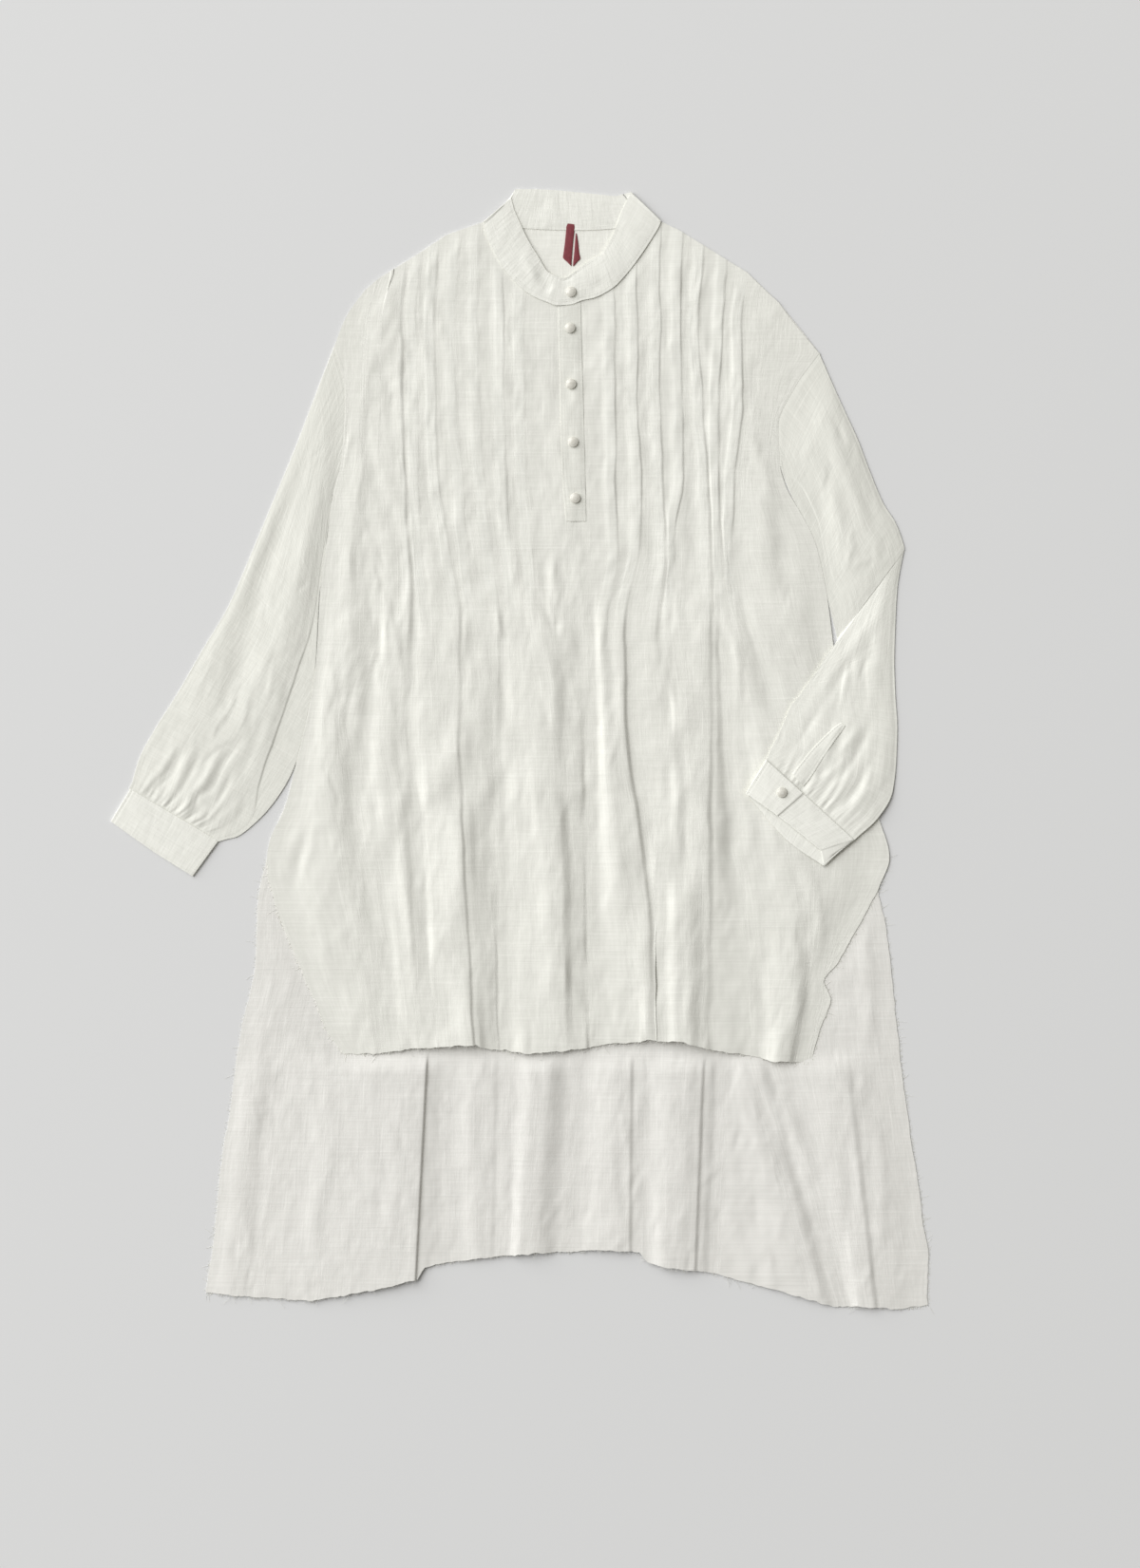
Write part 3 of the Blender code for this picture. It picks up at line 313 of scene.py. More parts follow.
PLACKET = [
    Row((38.4, 441.5), (60.6, 446.0)),
    Row((38.8, 410), (61.3, 410)),
    Row((40, 350), (63, 350)),
    Row((42, 275), (65, 275)),
    Row((46, 227), (66, 227)),
]
SLEEVE_STRIP = [
    Row((320.6, 25.6), (324.6, 22.6)),
    Row((314.8, 22.0), (321.4, 17.4)),
    Row((306.5, 14.4), (314.6, 8.4)),
    Row((291.7, -0.5), (301.4, -11.0)),
    Row((276.4, -19.6), (288.8, -31.0)),
    Row((272.0, -26.0), (283.0, -38.0)),
]
PLACKET_BUTTONS = [(51, 456), (50, 420), (51, 364), (53, 306), (55, 250)]
CUFF_BUTTON = (261, -44)
CUFF_LEFT_SEAM = [(-389.3, -40.5), (-301.3, -92.6)]
CUFF_LEFT_OPEN = [(-409, -73), (-365, -104), (-327, -128)]
CUFF_RIGHT_SEAM = [(245.6, -11.5), (333.6, -91.5)]
CUFF_RIGHT_OPEN_UPPER = [(225, -45), (263, -72), (300, -102)]
CUFF_RIGHT_OPEN_LOWER = [(228, -48), (268, -93), (304, -118)]
CUFF_OVERLAP = 0.42

# The ribbon loop's two legs, from the neck seam to their points
RIBBON_LONG_LEG = [
    Row((46.4, 524.9), (55.0, 523.8)),
    Row((45.2, 510.0), (53.4, 510.0)),
    Row((43.2, 494.0), (52.0, 494.0)),
    Row((42.8, 490.8), (51.6, 489.0)),
    Row((46.8, 486.4), (51.4, 485.4)),
    Row((50.6, 482.6), (51.4, 482.3)),
]
RIBBON_SHORT_LEG = [
    Row((55.6, 515.0), (56.6, 514.8)),
    Row((54.8, 506.0), (58.0, 506.0)),
    Row((54.0, 495.0), (59.2, 494.4)),
    Row((53.4, 489.6), (60.2, 489.8)),
    Row((53.0, 485.6), (57.2, 486.2)),
    Row((52.8, 482.2), (53.6, 482.0)),
]
# Creases that the photograph shows on the front, then such as show on a washed panel
FRONT_CREASES = [
    Crease(((-137, 149), (-147, 70), (-152, 0), (-163, -60), (-168, -150)), 9, 14, -1.6),
    Crease(((-92, 58), (-120, -88), (-106, -190), (-108, -260)), 10, 8, 1.3),
    Crease(((-110, -48), (-127, -122), (-120, -200)), 7, 10, -1.2),
    Crease(((-157, 110), (-160, 40), (-170, -10)), 6, 9, 1.1),
    Crease(((-201, -51), (-222, -122), (-239, -157)), 4, 7, -1.5),
    Crease(((-205, -66), (-219, -132)), 4, 4, 1.0),
    Crease(((-225, -207), (-201, -252)), 3, 4, -1.1),
    Crease(((-228, -180), (-214, -225), (-196, -262)), 3, 5, 1.0),
    Crease(((-115, 216), (-110, 158), (-112, 100)), 3, 6, 1.2),
    Crease(((-23, 141), (-19, 108)), 3, 4, 1.2),
    Crease(((-25, -20), (-31, -122), (-30, -190)), 7, 8, -0.9),
    Crease(((22, 156), (33, 122), (42, 131)), 3, 4, -1.2),
    Crease(((30, 190), (36, 160), (33, 128)), 5, 7, 0.8),
    Crease(((63, 132), (48, 54), (41, -21), (45, -75), (44, -157)), 9, 7, -1.1),
    Crease(((78, 196), (89, -21), (98, -106), (109, -190)), 8, 6, 0.9),
    Crease(((155, 163), (158, 132), (152, 110)), 4, 4, 1.0),
    Crease(((212, 207), (230, 115), (253, 57), (259, 27)), 6, 12, -1.4),
    Crease(((199, 145), (217, 85), (218, 20)), 6, 5, 0.9),
    Crease(((271, -94), (284, -163), (290, -248), (291, -300)), 5, 8, -1.3),
    Crease(((290, -110), (300, -180), (303, -225)), 6, 5, 0.8),
    Crease(((225, -40), (233, -120), (240, -220)), 9, 9, 0.7),
    Crease(((258, 300), (243, 240), (250, 180), (277, 120)), 9, 14, 1.4),
    Crease(((290, 205), (304, 150), (310, 104)), 4, 5, 1.4),
    Crease(((-176, 353), (-178, 318), (-178, 291)), 3, 5, -2.2),
    Crease(((-166, 322), (-175, 296), (-181, 270)), 3, 3, 1.5),
    Crease(((-160, 330), (-166, 250), (-172, 170), (-170, 100)), 9, 12, 1.0),
    Crease(((-140, 402), (-152, 330), (-160, 280)), 8, 6, -0.9),
    Crease(((-186, 150), (-180, 80), (-190, 10)), 6, 8, -0.8),
    Crease(((-60, -120), (-72, -200), (-66, -280)), 9, 9, 0.6),
    Crease(((120, -160), (118, -230), (124, -290)), 7, 8, 0.6),
    Crease(((160, 20), (166, -60), (160, -150)), 5, 5, -0.7),
    Crease(((12, 60), (16, -30), (10, -130)), 7, 9, 0.6),
    Crease(((205, 30), (214, -60), (208, -140)), 6, 8, -0.6),
    Crease(((-84, 20), (-78, -60), (-86, -150)), 8, 6, 0.6),
]
BACK_CREASES = [
    Crease(((-270, -210), (-262, -300), (-276, -400)), 9, 12, 0.9),
    Crease(((-240, -330), (-262, -420), (-258, -500)), 8, 10, -0.8),
    Crease(((-208, -330), (-190, -400), (-205, -470), (-196, -530)), 10, 8, 0.8),
    Crease(((-150, -340), (-136, -420), (-146, -500)), 8, 8, -0.7),
    Crease(((-70, -330), (-50, -380), (-62, -450)), 7, 10, 0.7),
    Crease(((226, -318), (258, -390), (289, -466)), 7, 12, -1.5),
    Crease(((262, -345), (276, -390), (300, -430)), 9, 7, 1.2),
    Crease(((340, -140), (350, -230), (346, -330)), 6, 8, 0.9),
    Crease(((352, -340), (362, -430), (352, -520)), 8, 8, 0.9),
    Crease(((318, -360), (330, -440), (318, -540)), 7, 9, -0.8),
    Crease(((200, -350), (214, -420), (208, -500)), 8, 8, 0.6),
    Crease(((120, -330), (112, -400), (118, -480)), 7, 9, 0.6),
    Crease(((10, 500), (40, 492), (80, 498)), 9, 9, 0.5),
]
LEFT_SLEEVE_CREASES = [
    Crease(((-204, 325), (-233, 236), (-255, 179), (-271, 122), (-288, 65), (-314, 8)), 13, 13, -2.4),
    Crease(((-216, 306), (-249, 236), (-273, 179), (-297, 122), (-322, 65), (-343, 10)), 8, 8, 1.4),
    Crease(((-194, 250), (-209, 179), (-220, 122), (-238, 65), (-256, 8), (-276, -50)), 7, 15, 1.8),
    Crease(((-359, 12), (-375, -11), (-378, -23), (-385, -36), (-392, -50)), 3, 4, -0.96),
    Crease(((-366, 14), (-382, -8), (-386, -24), (-391, -36)), 4, 3, 0.6),
    Crease(((-332, 12), (-340, -7), (-349, -26), (-363, -40), (-369, -50), (-378, -64)), 3, 4, -0.96),
    Crease(((-340, 16), (-349, -6), (-357, -22), (-368, -36), (-376, -48)), 4, 3, 0.6),
    Crease(((-345, -12), (-352, -23), (-363, -32), (-370, -42), (-378, -54)), 2, 3, -0.66),
    Crease(((-316, 3), (-325, -16), (-335, -35), (-344, -49), (-352, -59), (-360, -72)), 3, 4, -0.96),
    Crease(((-322, 8), (-334, -14), (-344, -34), (-354, -48), (-361, -58)), 4, 3, 0.72),
    Crease(((-271, 22), (-283, 3), (-297, -16), (-309, -40), (-322, -48), (-325, -59), (-340, -84)),
           4, 6, -1.14),
    Crease(((-290, 14), (-306, -16), (-318, -36), (-330, -48), (-336, -62), (-344, -76)), 6, 4, 0.84),
    Crease(((-287, -24), (-292, -35), (-300, -51), (-313, -70), (-318, -90)), 3, 4, -0.9),
    Crease(((-270, -52), (-278, -64), (-292, -76), (-304, -83), (-314, -96)), 3, 4, -0.84),
    Crease(((-276, -40), (-286, -60), (-300, -72), (-310, -84)), 4, 4, 0.54),
    Crease(((-232, 120), (-256, 60), (-268, 20)), 5, 6, -0.5),
    Crease(((-244, 60), (-266, 0), (-284, -40)), 5, 6, -0.7),
]
RIGHT_SLEEVE_CREASES = [
    Crease(((312, 334), (320, 316), (326, 302)), 3, 4, -0.81),
    Crease(((306, 345), (318, 300), (332, 262), (350, 222)), 6, 9, 0.68),
    Crease(((299, 262), (299, 222), (306, 171), (321, 121)), 6, 8, -1.12),
    Crease(((310, 280), (314, 222), (332, 160)), 9, 9, 0.74),
    Crease(((338, 268), (352, 226), (366, 200)), 6, 6, -0.5),
    Crease(((372, 150), (338, 110), (302, 62), (280, 12)), 9, 8, 0.93),
    Crease(((352, 110), (318, 70), (292, 30), (272, -4)), 5, 8, -0.81),
    Crease(((376, 74), (364, -21), (330, -68)), 11, 8, 1.24),
    Crease(((331, 7), (306, -22), (294, -28)), 4, 5, -0.87),
    Crease(((355, 33), (331, -14), (307, -41)), 4, 5, -0.93),
    Crease(((344, 30), (318, -8), (302, -34)), 5, 4, 0.87),
    Crease(((358, 0), (338, -36), (322, -62)), 4, 4, -0.93),
    Crease(((372, -20), (352, -60), (338, -82)), 4, 4, -0.81),
    Crease(((320, 30), (312, 8), (300, -18)), 4, 4, 0.68),
    Crease(((300, 40), (284, 16), (270, -6)), 3, 4, -0.62),
    Crease(((366, 120), (350, 60), (346, 20)), 8, 8, 0.56),
]
COLLAR_CREASES = [
    Crease(((35, 555), (18, 538), (14, 528)), 6, 7, -0.5),
    Crease(((16, 482), (26, 464), (32, 456)), 5, 6, -0.9),
    Crease(((0, 500), (10, 480), (20, 462)), 4, 5, 0.7),
    Crease(((88, 470), (78, 462), (70, 458)), 5, 5, -0.7),
]


def ease(t: np.ndarray | float) -> np.ndarray:
    """Returns a soft step from 0 to 1."""
    t = np.clip(t, 0.0, 1.0)
    return t * t * (3.0 - 2.0 * t)


def blend(a: np.ndarray | float, b: np.ndarray | float, t: np.ndarray | float) -> np.ndarray | float:
    """Returns the value t of the way from a to b."""
    return a + (b - a) * t


def smooth_through(knots: Sequence[float], values: Sequence[float], at: np.ndarray | float) -> np.ndarray:
    """Reads a smooth curve that never overshoots its points.

    Args:
        knots: Where the points are, rising.
        values: The curve's value at each.
        at: Where to read it. Past the ends it keeps its end values.

    Returns:
        The curve's values.
    """
    place, value = np.asarray(knots, float), np.asarray(values, float)
    widths = np.diff(place)
    steps = np.diff(value) / widths
    product = steps[:-1] * steps[1:]
    total = np.where(product > 0.0, steps[:-1] + steps[1:], 1.0)
    slopes = np.concatenate([steps[:1], np.where(product > 0.0, 2.0 * product / total, 0.0), steps[-1:]])
    at = np.clip(at, place[0], place[-1])
    i = np.clip(np.searchsorted(place, at, side="right") - 1, 0, len(widths) - 1)
    t = (at - place[i]) / widths[i]
    start = (1 + 2 * t) * (1 - t) ** 2 * value[i] + t * (1 - t) ** 2 * widths[i] * slopes[i]
    return start + t * t * (3 - 2 * t) * value[i + 1] + t * t * (t - 1) * widths[i] * slopes[i + 1]


def down_line(points: Outline, y: np.ndarray | float) -> np.ndarray:
    """Returns the x, at the heights y, of a line that runs down through the points."""
    rising = list(reversed(points))
    return smooth_through([p[1] for p in rising], [p[0] for p in rising], y)


def edge_height(points: Outline, x: np.ndarray | float) -> np.ndarray:
    """Returns the y, at x, of an outline that runs right through the points."""
    return np.interp(x, [p[0] for p in points], [p[1] for p in points])


def along_points(points: Outline, at: np.ndarray) -> np.ndarray:
    """Reads places along a line of points, each stretch counted alike.

    Args:
        points: The line.
        at: How far along the places are, 0 to 1.

    Returns:
        The places.
    """
    knots = np.linspace(0.0, 1.0, len(points))
    if len(points) == 2:
        return np.stack([np.interp(at, knots, [p[k] for p in points]) for k in (0, 1)], axis=-1)
    return np.stack([smooth_through(knots, [p[k] for p in points], at) for k in (0, 1)], axis=-1)


def way_along(line: np.ndarray) -> np.ndarray:
    """Returns how far along a line each of its points lies."""
    return np.concatenate([[0.0], np.cumsum(np.hypot(*np.diff(line, axis=0).T))])


def ruled(one: np.ndarray, two: np.ndarray, shares: np.ndarray) -> np.ndarray:
    """Returns the places that lie the shares of the way from the points of one line to another's."""
    return one[:, None] + (two - one)[:, None] * np.atleast_2d(shares)[..., None]


def bell(distance: np.ndarray, spread: float | np.ndarray) -> np.ndarray:
    """Returns 1 at no distance, falling off smoothly over the spread."""
    return np.exp(-((distance / spread) ** 2))


def ripple(x: np.ndarray, y: np.ndarray, wide: float, long: float, seed: int) -> np.ndarray:
    """Works out smooth random unevenness.

    Args:
        x: Places across.
        y: Places along.
        wide: How far apart the swells are across, in the units of x.
        long: The same along.
        seed: Which of the patterns.

    Returns:
        Values from about -1 to 1.
    """
    cells = 64
    lattice = np.random.default_rng(seed).uniform(-1.0, 1.0, (cells, cells))
    u, v = x / wide + 1000.0, y / long + 1000.0
    i, j = np.floor(u).astype(int), np.floor(v).astype(int)
    a, b = ease(u - i), ease(v - j)
    near = blend(lattice[i % cells, j % cells], lattice[(i + 1) % cells, j % cells], a)
    far = blend(lattice[i % cells, (j + 1) % cells], lattice[(i + 1) % cells, (j + 1) % cells], a)
    return blend(near, far, b)


def crumple(x: np.ndarray, y: np.ndarray, seed: int) -> np.ndarray:
    """Works out the fine unevenness of washed linen, longer down the cloth.

    Args:
        x: Places across.
        y: Places along.
        seed: Which of the patterns.

    Returns:
        Values from about -1 to 1.
    """
    bent = x + 9.0 * ripple(x, y, 60.0, 70.0, seed + 5)
    broad = ripple(bent, y, 28.0, 84.0, seed)
    middle = ripple(bent + 0.3 * y, y, 11.0, 30.0, seed + 1)
    small = ripple(bent - 0.4 * y, y + 0.2 * x, 6.0, 14.0, seed + 2)
    ridged = 1.0 - 2.0 * np.abs(ripple(bent, y - 0.3 * x, 22.0, 38.0, seed + 3))
    return 0.36 * broad + 0.3 * middle + 0.16 * small + 0.26 * ridged


def crease_heights(x: np.ndarray, y: np.ndarray, creases: Sequence[Crease]) -> np.ndarray:
    """Works out how much a set of creases raises or lowers a sheet.

    Args:
        x: Places across.
        y: Places along.
        creases: The ridges and troughs.

    Returns:
        Heights to add, of the shape of x.
    """
    total = np.zeros_like(x)
    for crease in creases:
        line = along_points(crease.points, np.linspace(0.0, 1.0, 6 * len(crease.points)))
        reach = 2.6 * max(crease.left, crease.right)
        low, high = line.min(0) - reach, line.max(0) + reach
        near = (x > low[0]) & (x < high[0]) & (y > low[1]) & (y < high[1])
        spot = np.stack([x[near], y[near]], axis=-1)
        best = np.full(len(spot), 1e9)
        share = np.zeros(len(spot))
        side = np.zeros(len(spot))
        for i, (a, b) in enumerate(zip(line, line[1:])):
            run = b - a
            t = np.clip((spot - a) @ run / (run @ run), 0.0, 1.0)
            off = spot - (a + t[:, None] * run)
            far = np.hypot(off[:, 0], off[:, 1])
            closer = far < best
            best = np.where(closer, far, best)
            share = np.where(closer, (i + t) / (len(line) - 1), share)
            side = np.where(closer, run[0] * off[:, 1] - run[1] * off[:, 0], side)
        spread = np.where(side > 0.0, crease.left, crease.right)
        taper = ease(share / 0.3) * ease((1.0 - share) / 0.3)
        total[near] += crease.rise * taper * bell(best, spread)
    return total


def small_creases(outline: tuple[float, float, float, float], count: int, tilt: tuple[float, float],
                  rise: float, seed: int) -> list[Crease]:
    """Scatters the short creases of washed linen.

    Args:
        outline: The box that they lie in: left, bottom, right and top.
        count: How many.
        tilt: Their direction in degrees from upright, and how far it strays.
        rise: How high the highest stands.
        seed: Which of the patterns.

    Returns:
        The creases.
    """
    chance = np.random.default_rng(seed)
    found = []
    for _ in range(count):
        x = chance.uniform(outline[0], outline[2])
        y = chance.uniform(outline[1], outline[3])
        turn = math.radians(tilt[0] + tilt[1] * chance.normal())
        half = 0.5 * chance.uniform(16.0, 62.0)
        bow = chance.uniform(-0.16, 0.16) * half
        run = np.array([math.sin(turn), math.cos(turn)])
        square = np.array([run[1], -run[0]])
        points = [np.array([x, y]) + run * half * k + square * bow * (1 - k * k) for k in (-1.0, 0.0, 1.0)]
        height = rise * chance.uniform(0.35, 1.0) * chance.choice([-1.0, -1.0, 1.0])
        wide, narrow = chance.uniform(3.0, 6.5), chance.uniform(1.6, 3.2)
        if chance.random() < 0.5:
            wide, narrow = narrow, wide
        found.append(Crease(tuple(tuple(point) for point in points), wide, narrow, height))
    return found


def link(name: str, data: bpy.types.ID) -> bpy.types.Object:
    """Makes an object and puts it in the scene.

    Args:
        name: The object's name.
        data: Its mesh, light or camera.

    Returns:
        The object.
    """
    made = bpy.data.objects.new(name, data)
    bpy.context.scene.collection.objects.link(made)
    return made


def mesh_of(name: str, builder: bmesh.types.BMesh) -> bpy.types.Mesh:
    """Makes a mesh with what a builder holds, and frees the builder.

    Args:
        name: The mesh's name.
        builder: The builder.

    Returns:
        The mesh.
    """
    mesh = bpy.data.meshes.new(name)
    builder.to_mesh(mesh)
    builder.free()
    return mesh


def cloth_mesh(name: str, grid: np.ndarray, uv: np.ndarray, cover: np.ndarray,
               tube: bool = False) -> bpy.types.Object:
    """Makes a sheet of cloth from rows of points.

    Args:
        name: The piece's name.
        grid: Rows by columns by three, in millimetres. On a tube the last column is the first again.
        uv: The weave's own coordinates at each point, in millimetres.
        cover: How many layers show through at each point, 0 for one to 1 for several.
        tube: Whether the columns close up.

    Returns:
        The object, at the origin, with no thickness yet.
    """
    rows, columns, _ = grid.shape
    builder = bmesh.new()
    bmesh.ops.create_grid(builder, x_segments=columns - 1, y_segments=rows - 1, size=1.0)
    mesh = mesh_of(name, builder)
    mesh.vertices.foreach_set("co", (grid * METRES).astype(np.float32).ravel())
    corners = np.zeros(len(mesh.loops), np.int32)
    mesh.loops.foreach_get("vertex_index", corners)
    layer = mesh.uv_layers.get("UVMap") or mesh.uv_layers.new(name="UVMap")
    layer.data.foreach_set("uv", (uv.reshape(-1, 2)[corners] * METRES).astype(np.float32).ravel())
    mark = mesh.attributes.new("cover", "FLOAT", "POINT")
    mark.data.foreach_set("value", cover.astype(np.float32).ravel())
    mesh.shade_smooth()
    builder = bmesh.new()
    builder.from_mesh(mesh)
    if tube:
        edges = [v for v in builder.verts if v.is_boundary]
        bmesh.ops.remove_doubles(builder, verts=edges, dist=1e-6)
        bmesh.ops.recalc_face_normals(builder, faces=builder.faces)
        outward = sum(f.normal.z * f.calc_area() * f.calc_center_median().z for f in builder.faces)
        if outward < 0.0:
            bmesh.ops.reverse_faces(builder, faces=builder.faces)
    for edge in builder.edges:
        edge.smooth = not edge.is_boundary
    builder.to_mesh(mesh)
    builder.free()
    return link(name, mesh)


def thicken(piece: bpy.types.Object, thickness: float) -> None:
    """Gives a sheet a wall below its face.

    Args:
        piece: The sheet.
        thickness: The wall, in millimetres.
    """
    wall = piece.modifiers.new("cloth", "SOLIDIFY")
    wall.thickness = thickness * METRES
    wall.offset = -1.0
    wall.use_rim = True


class Lay:
    """Finds how high the pieces made so far stand."""

    SKY = 200.0
    NEAR = 14.0
    FAR = 32.0
    SAG = 1.6
    BULK = 0.5

    def __init__(self, *pieces: bpy.types.Object) -> None:
        """Reads the pieces' faces.

        Args:
            *pieces: What is looked down on.
        """
        self.trees = []
        for piece in pieces:
            points = [v.co / METRES for v in piece.data.vertices]
            self.trees.append(BVHTree.FromPolygons(points, [tuple(f.vertices) for f in piece.data.polygons]))

    def top(self, x: float, y: float) -> float:
        """Returns the highest surface above (x, y), or 0 on the table."""
        hits = [tree.ray_cast(Vector((x, y, self.SKY)), Vector((0, 0, -1)))[0] for tree in self.trees]
        return max([hit.z for hit in hits if hit], default=0.0)

    def around(self, x: float, y: float, reach: float, spokes: int = 10) -> float:
        """Finds the highest surface near a place.

        Args:
            x: The place.
            y: The same.
            reach: How far around it counts.
            spokes: In how many directions it is looked at.

        Returns:
            The height.
        """
        spots = [(x, y)]
        for share in (0.5, 1.0):
            for k in range(spokes):
                turn = math.tau * k / spokes
                spots.append((x + reach * share * math.cos(turn), y + reach * share * math.sin(turn)))
        return max(self.top(*spot) for spot in spots)

    def rest(self, x: float, y: float) -> float:
        """Finds how high a stiffish layer lies that rests around a place and slopes off edges.

        Args:
            x: The place.
            y: The same.

        Returns:
            The height.
        """
        near = self.around(x, y, self.NEAR)
        lift = max(near, self.around(x, y, self.FAR) - self.SAG)
        return lift + self.BULK if near > 0.0 else max(0.0, lift)

    def rest_grid(self, places: np.ndarray) -> np.ndarray:
        """Finds the heights of rest at many places, softened along and across.

        Args:
            places: Rows by columns of places.

        Returns:
            Their heights.
        """
        high = np.array([[self.rest(*spot) for spot in row] for row in places])
        for _ in range(2):
            for axis in (0, 1):
                before = np.take(high, [0, *range(high.shape[axis] - 1)], axis)
                after = np.take(high, [*range(1, high.shape[axis]), high.shape[axis] - 1], axis)
                high = np.maximum(high - 0.15, (before + 2.0 * high + after) / 4.0)
        return high


def finer(coarse: np.ndarray, rows: np.ndarray, columns: np.ndarray) -> np.ndarray:
    """Reads a coarse grid, laid out over 0 to 1 both ways, smoothly at rows and columns.

    Args:
        coarse: The values.
        rows: Where the rows wanted stand, 0 to 1.
        columns: The same for columns.

    Returns:
        The grid of values wanted.
    """
    tall = np.linspace(0.0, 1.0, coarse.shape[0])
    wide = np.linspace(0.0, 1.0, coarse.shape[1])
    stretched = np.stack([smooth_through(tall, coarse[:, k], rows) for k in range(len(wide))], axis=1)
    return np.stack([smooth_through(wide, row, columns) for row in stretched], axis=0)


class Level:
    """A number that changes over a surface. Sums on it add their Math nodes."""

    def __init__(self, recipe: Recipe, socket: bpy.types.NodeSocket) -> None:
        """Wraps a node's output socket."""
        self.recipe = recipe
        self.socket = socket

    def maths(self, operation: str, *values: Level | float) -> Level:
        """Adds one Math node.

        Args:
            operation: Blender's name for it.
            *values: The values of its sockets in order.

        Returns:
            The result.
        """
        node = self.recipe.node("ShaderNodeMath", {"operation": operation}, dict(enumerate(values)))
        return Level(self.recipe, node.outputs[0])

    def __add__(self, other: Level | float) -> Level:
        """Returns self + other."""
        return self.maths("ADD", self, other)

    __radd__ = __add__

    def __sub__(self, other: Level | float) -> Level:
        """Returns self - other."""
        return self.maths("SUBTRACT", self, other)

    def __rsub__(self, other: Level | float) -> Level:
        """Returns other - self."""
        return self.maths("SUBTRACT", other, self)

    def __mul__(self, other: Level | float) -> Level:
        """Returns self * other."""
        return self.maths("MULTIPLY", self, other)

    __rmul__ = __mul__

    def wave(self, length: float) -> Level:
        """Returns a sine of it, from -1 to 1, that repeats every length."""
        return (self * (math.tau / length)).maths("SINE", self * (math.tau / length))

    def above(self, threshold: float, softness: float) -> Level:
        """Returns 0 below the threshold, rising to 1 over the softness."""
        share = (self - threshold) * (1.0 / softness)
        return share.maths("MINIMUM", share.maths("MAXIMUM", share, 0.0), 1.0)


class Recipe:
    """The nodes of one finish."""

    def __init__(self, name: str) -> None:
        """Starts a material with a Principled shader.

        Args:
            name: The material's name.
        """
        self.material = bpy.data.materials.new(name)
        self.material.use_nodes = True
        self.tree = self.material.node_tree
        self.shader = self.tree.nodes["Principled BSDF"]

    def join(self, value: object, socket: bpy.types.NodeSocket) -> None:
        """Feeds a socket.

        Args:
            value: A Level or an output to link, or a plain value to set.
            socket: The input socket.
        """
        if isinstance(value, Level):
            self.tree.links.new(value.socket, socket)
        elif isinstance(value, bpy.types.NodeSocket):
            self.tree.links.new(value, socket)
        else:
            socket.default_value = value

    def shade(self, sockets: dict[str, object]) -> bpy.types.Material:
        """Joins values or links to the shader's sockets.

        Args:
            sockets: What each takes, by name.

        Returns:
            The material.
        """
        for name, value in sockets.items():
            self.join(value, self.shader.inputs[name])
        return self.material

    def node(self, kind: str, settings: dict[str, object] | None = None,
             sockets: dict[int | str, object] | None = None) -> bpy.types.Node:
        """Adds a node.

        Args:
            kind: Its Blender type.
            settings: Its own settings, made first.
            sockets: Values or links of its input sockets, by name or number.

        Returns:
            The node.
        """
        made = self.tree.nodes.new(kind)
        for name, value in (settings or {}).items():
            setattr(made, name, value)
        for name, value in (sockets or {}).items():
            self.join(value, made.inputs[name])
        return made

    def place(self) -> bpy.types.NodeSocket:
        """Returns the weave's own coordinates."""
        return self.node("ShaderNodeUVMap", {"uv_map": "UVMap"}).outputs["UV"]

    def waves(self, place: bpy.types.NodeSocket, across: float, down: float) -> tuple[Level, Level]:
        """Returns threads that repeat every across along X and every down along Y."""
        split = self.node("ShaderNodeSeparateXYZ", {}, {"Vector": place})
        return Level(self, split.outputs["X"]).wave(across), Level(self, split.outputs["Y"]).wave(down)

    def attribute(self, name: str) -> Level:
        """Returns a number that the mesh carries."""
        made = self.node("ShaderNodeAttribute", {"attribute_type": "GEOMETRY", "attribute_name": name})
        return Level(self, made.outputs["Fac"])

    def noise(self, place: bpy.types.NodeSocket, scale: tuple[float, float, float], detail: float = 2.0,
              start: float = 0.0) -> Level:
        """Adds soft noise.

        Args:
            place: The coordinates that it reads, in metres.
            scale: How many swells there are to the metre, each way.
            detail: How many finer noises are added.
            start: Where in the endless pattern it begins.

        Returns:
            The noise, around 0.5.
        """
        spread = self.node("ShaderNodeMapping", {}, {"Vector": place, "Scale": scale,
                                                     "Location": (start, 0.7 * start, 0.3 * start)})
        made = self.node("ShaderNodeTexNoise", {"noise_dimensions": "3D"},
                         {"Vector": spread.outputs[0], "Scale": 1.0, "Detail": detail, "Roughness": 0.55})
        return Level(self, made.outputs["Fac"])

    def mixed(self, share: Level, one: object, two: object) -> bpy.types.NodeSocket:
        """Returns the colour that share of the way from one to two gives."""
        made = self.node("ShaderNodeMix", {"data_type": "RGBA"}, {0: share, 6: one, 7: two})
        return made.outputs[2]

    def bump(self, height: Level, distance: float, strength: float = 1.0) -> bpy.types.NodeSocket:
        """Returns the normal of a surface with that height, one unit of it being distance in metres."""
        made = self.node("ShaderNodeBump", {}, {"Strength": strength, "Distance": distance, "Height": height})
        return made.outputs["Normal"]


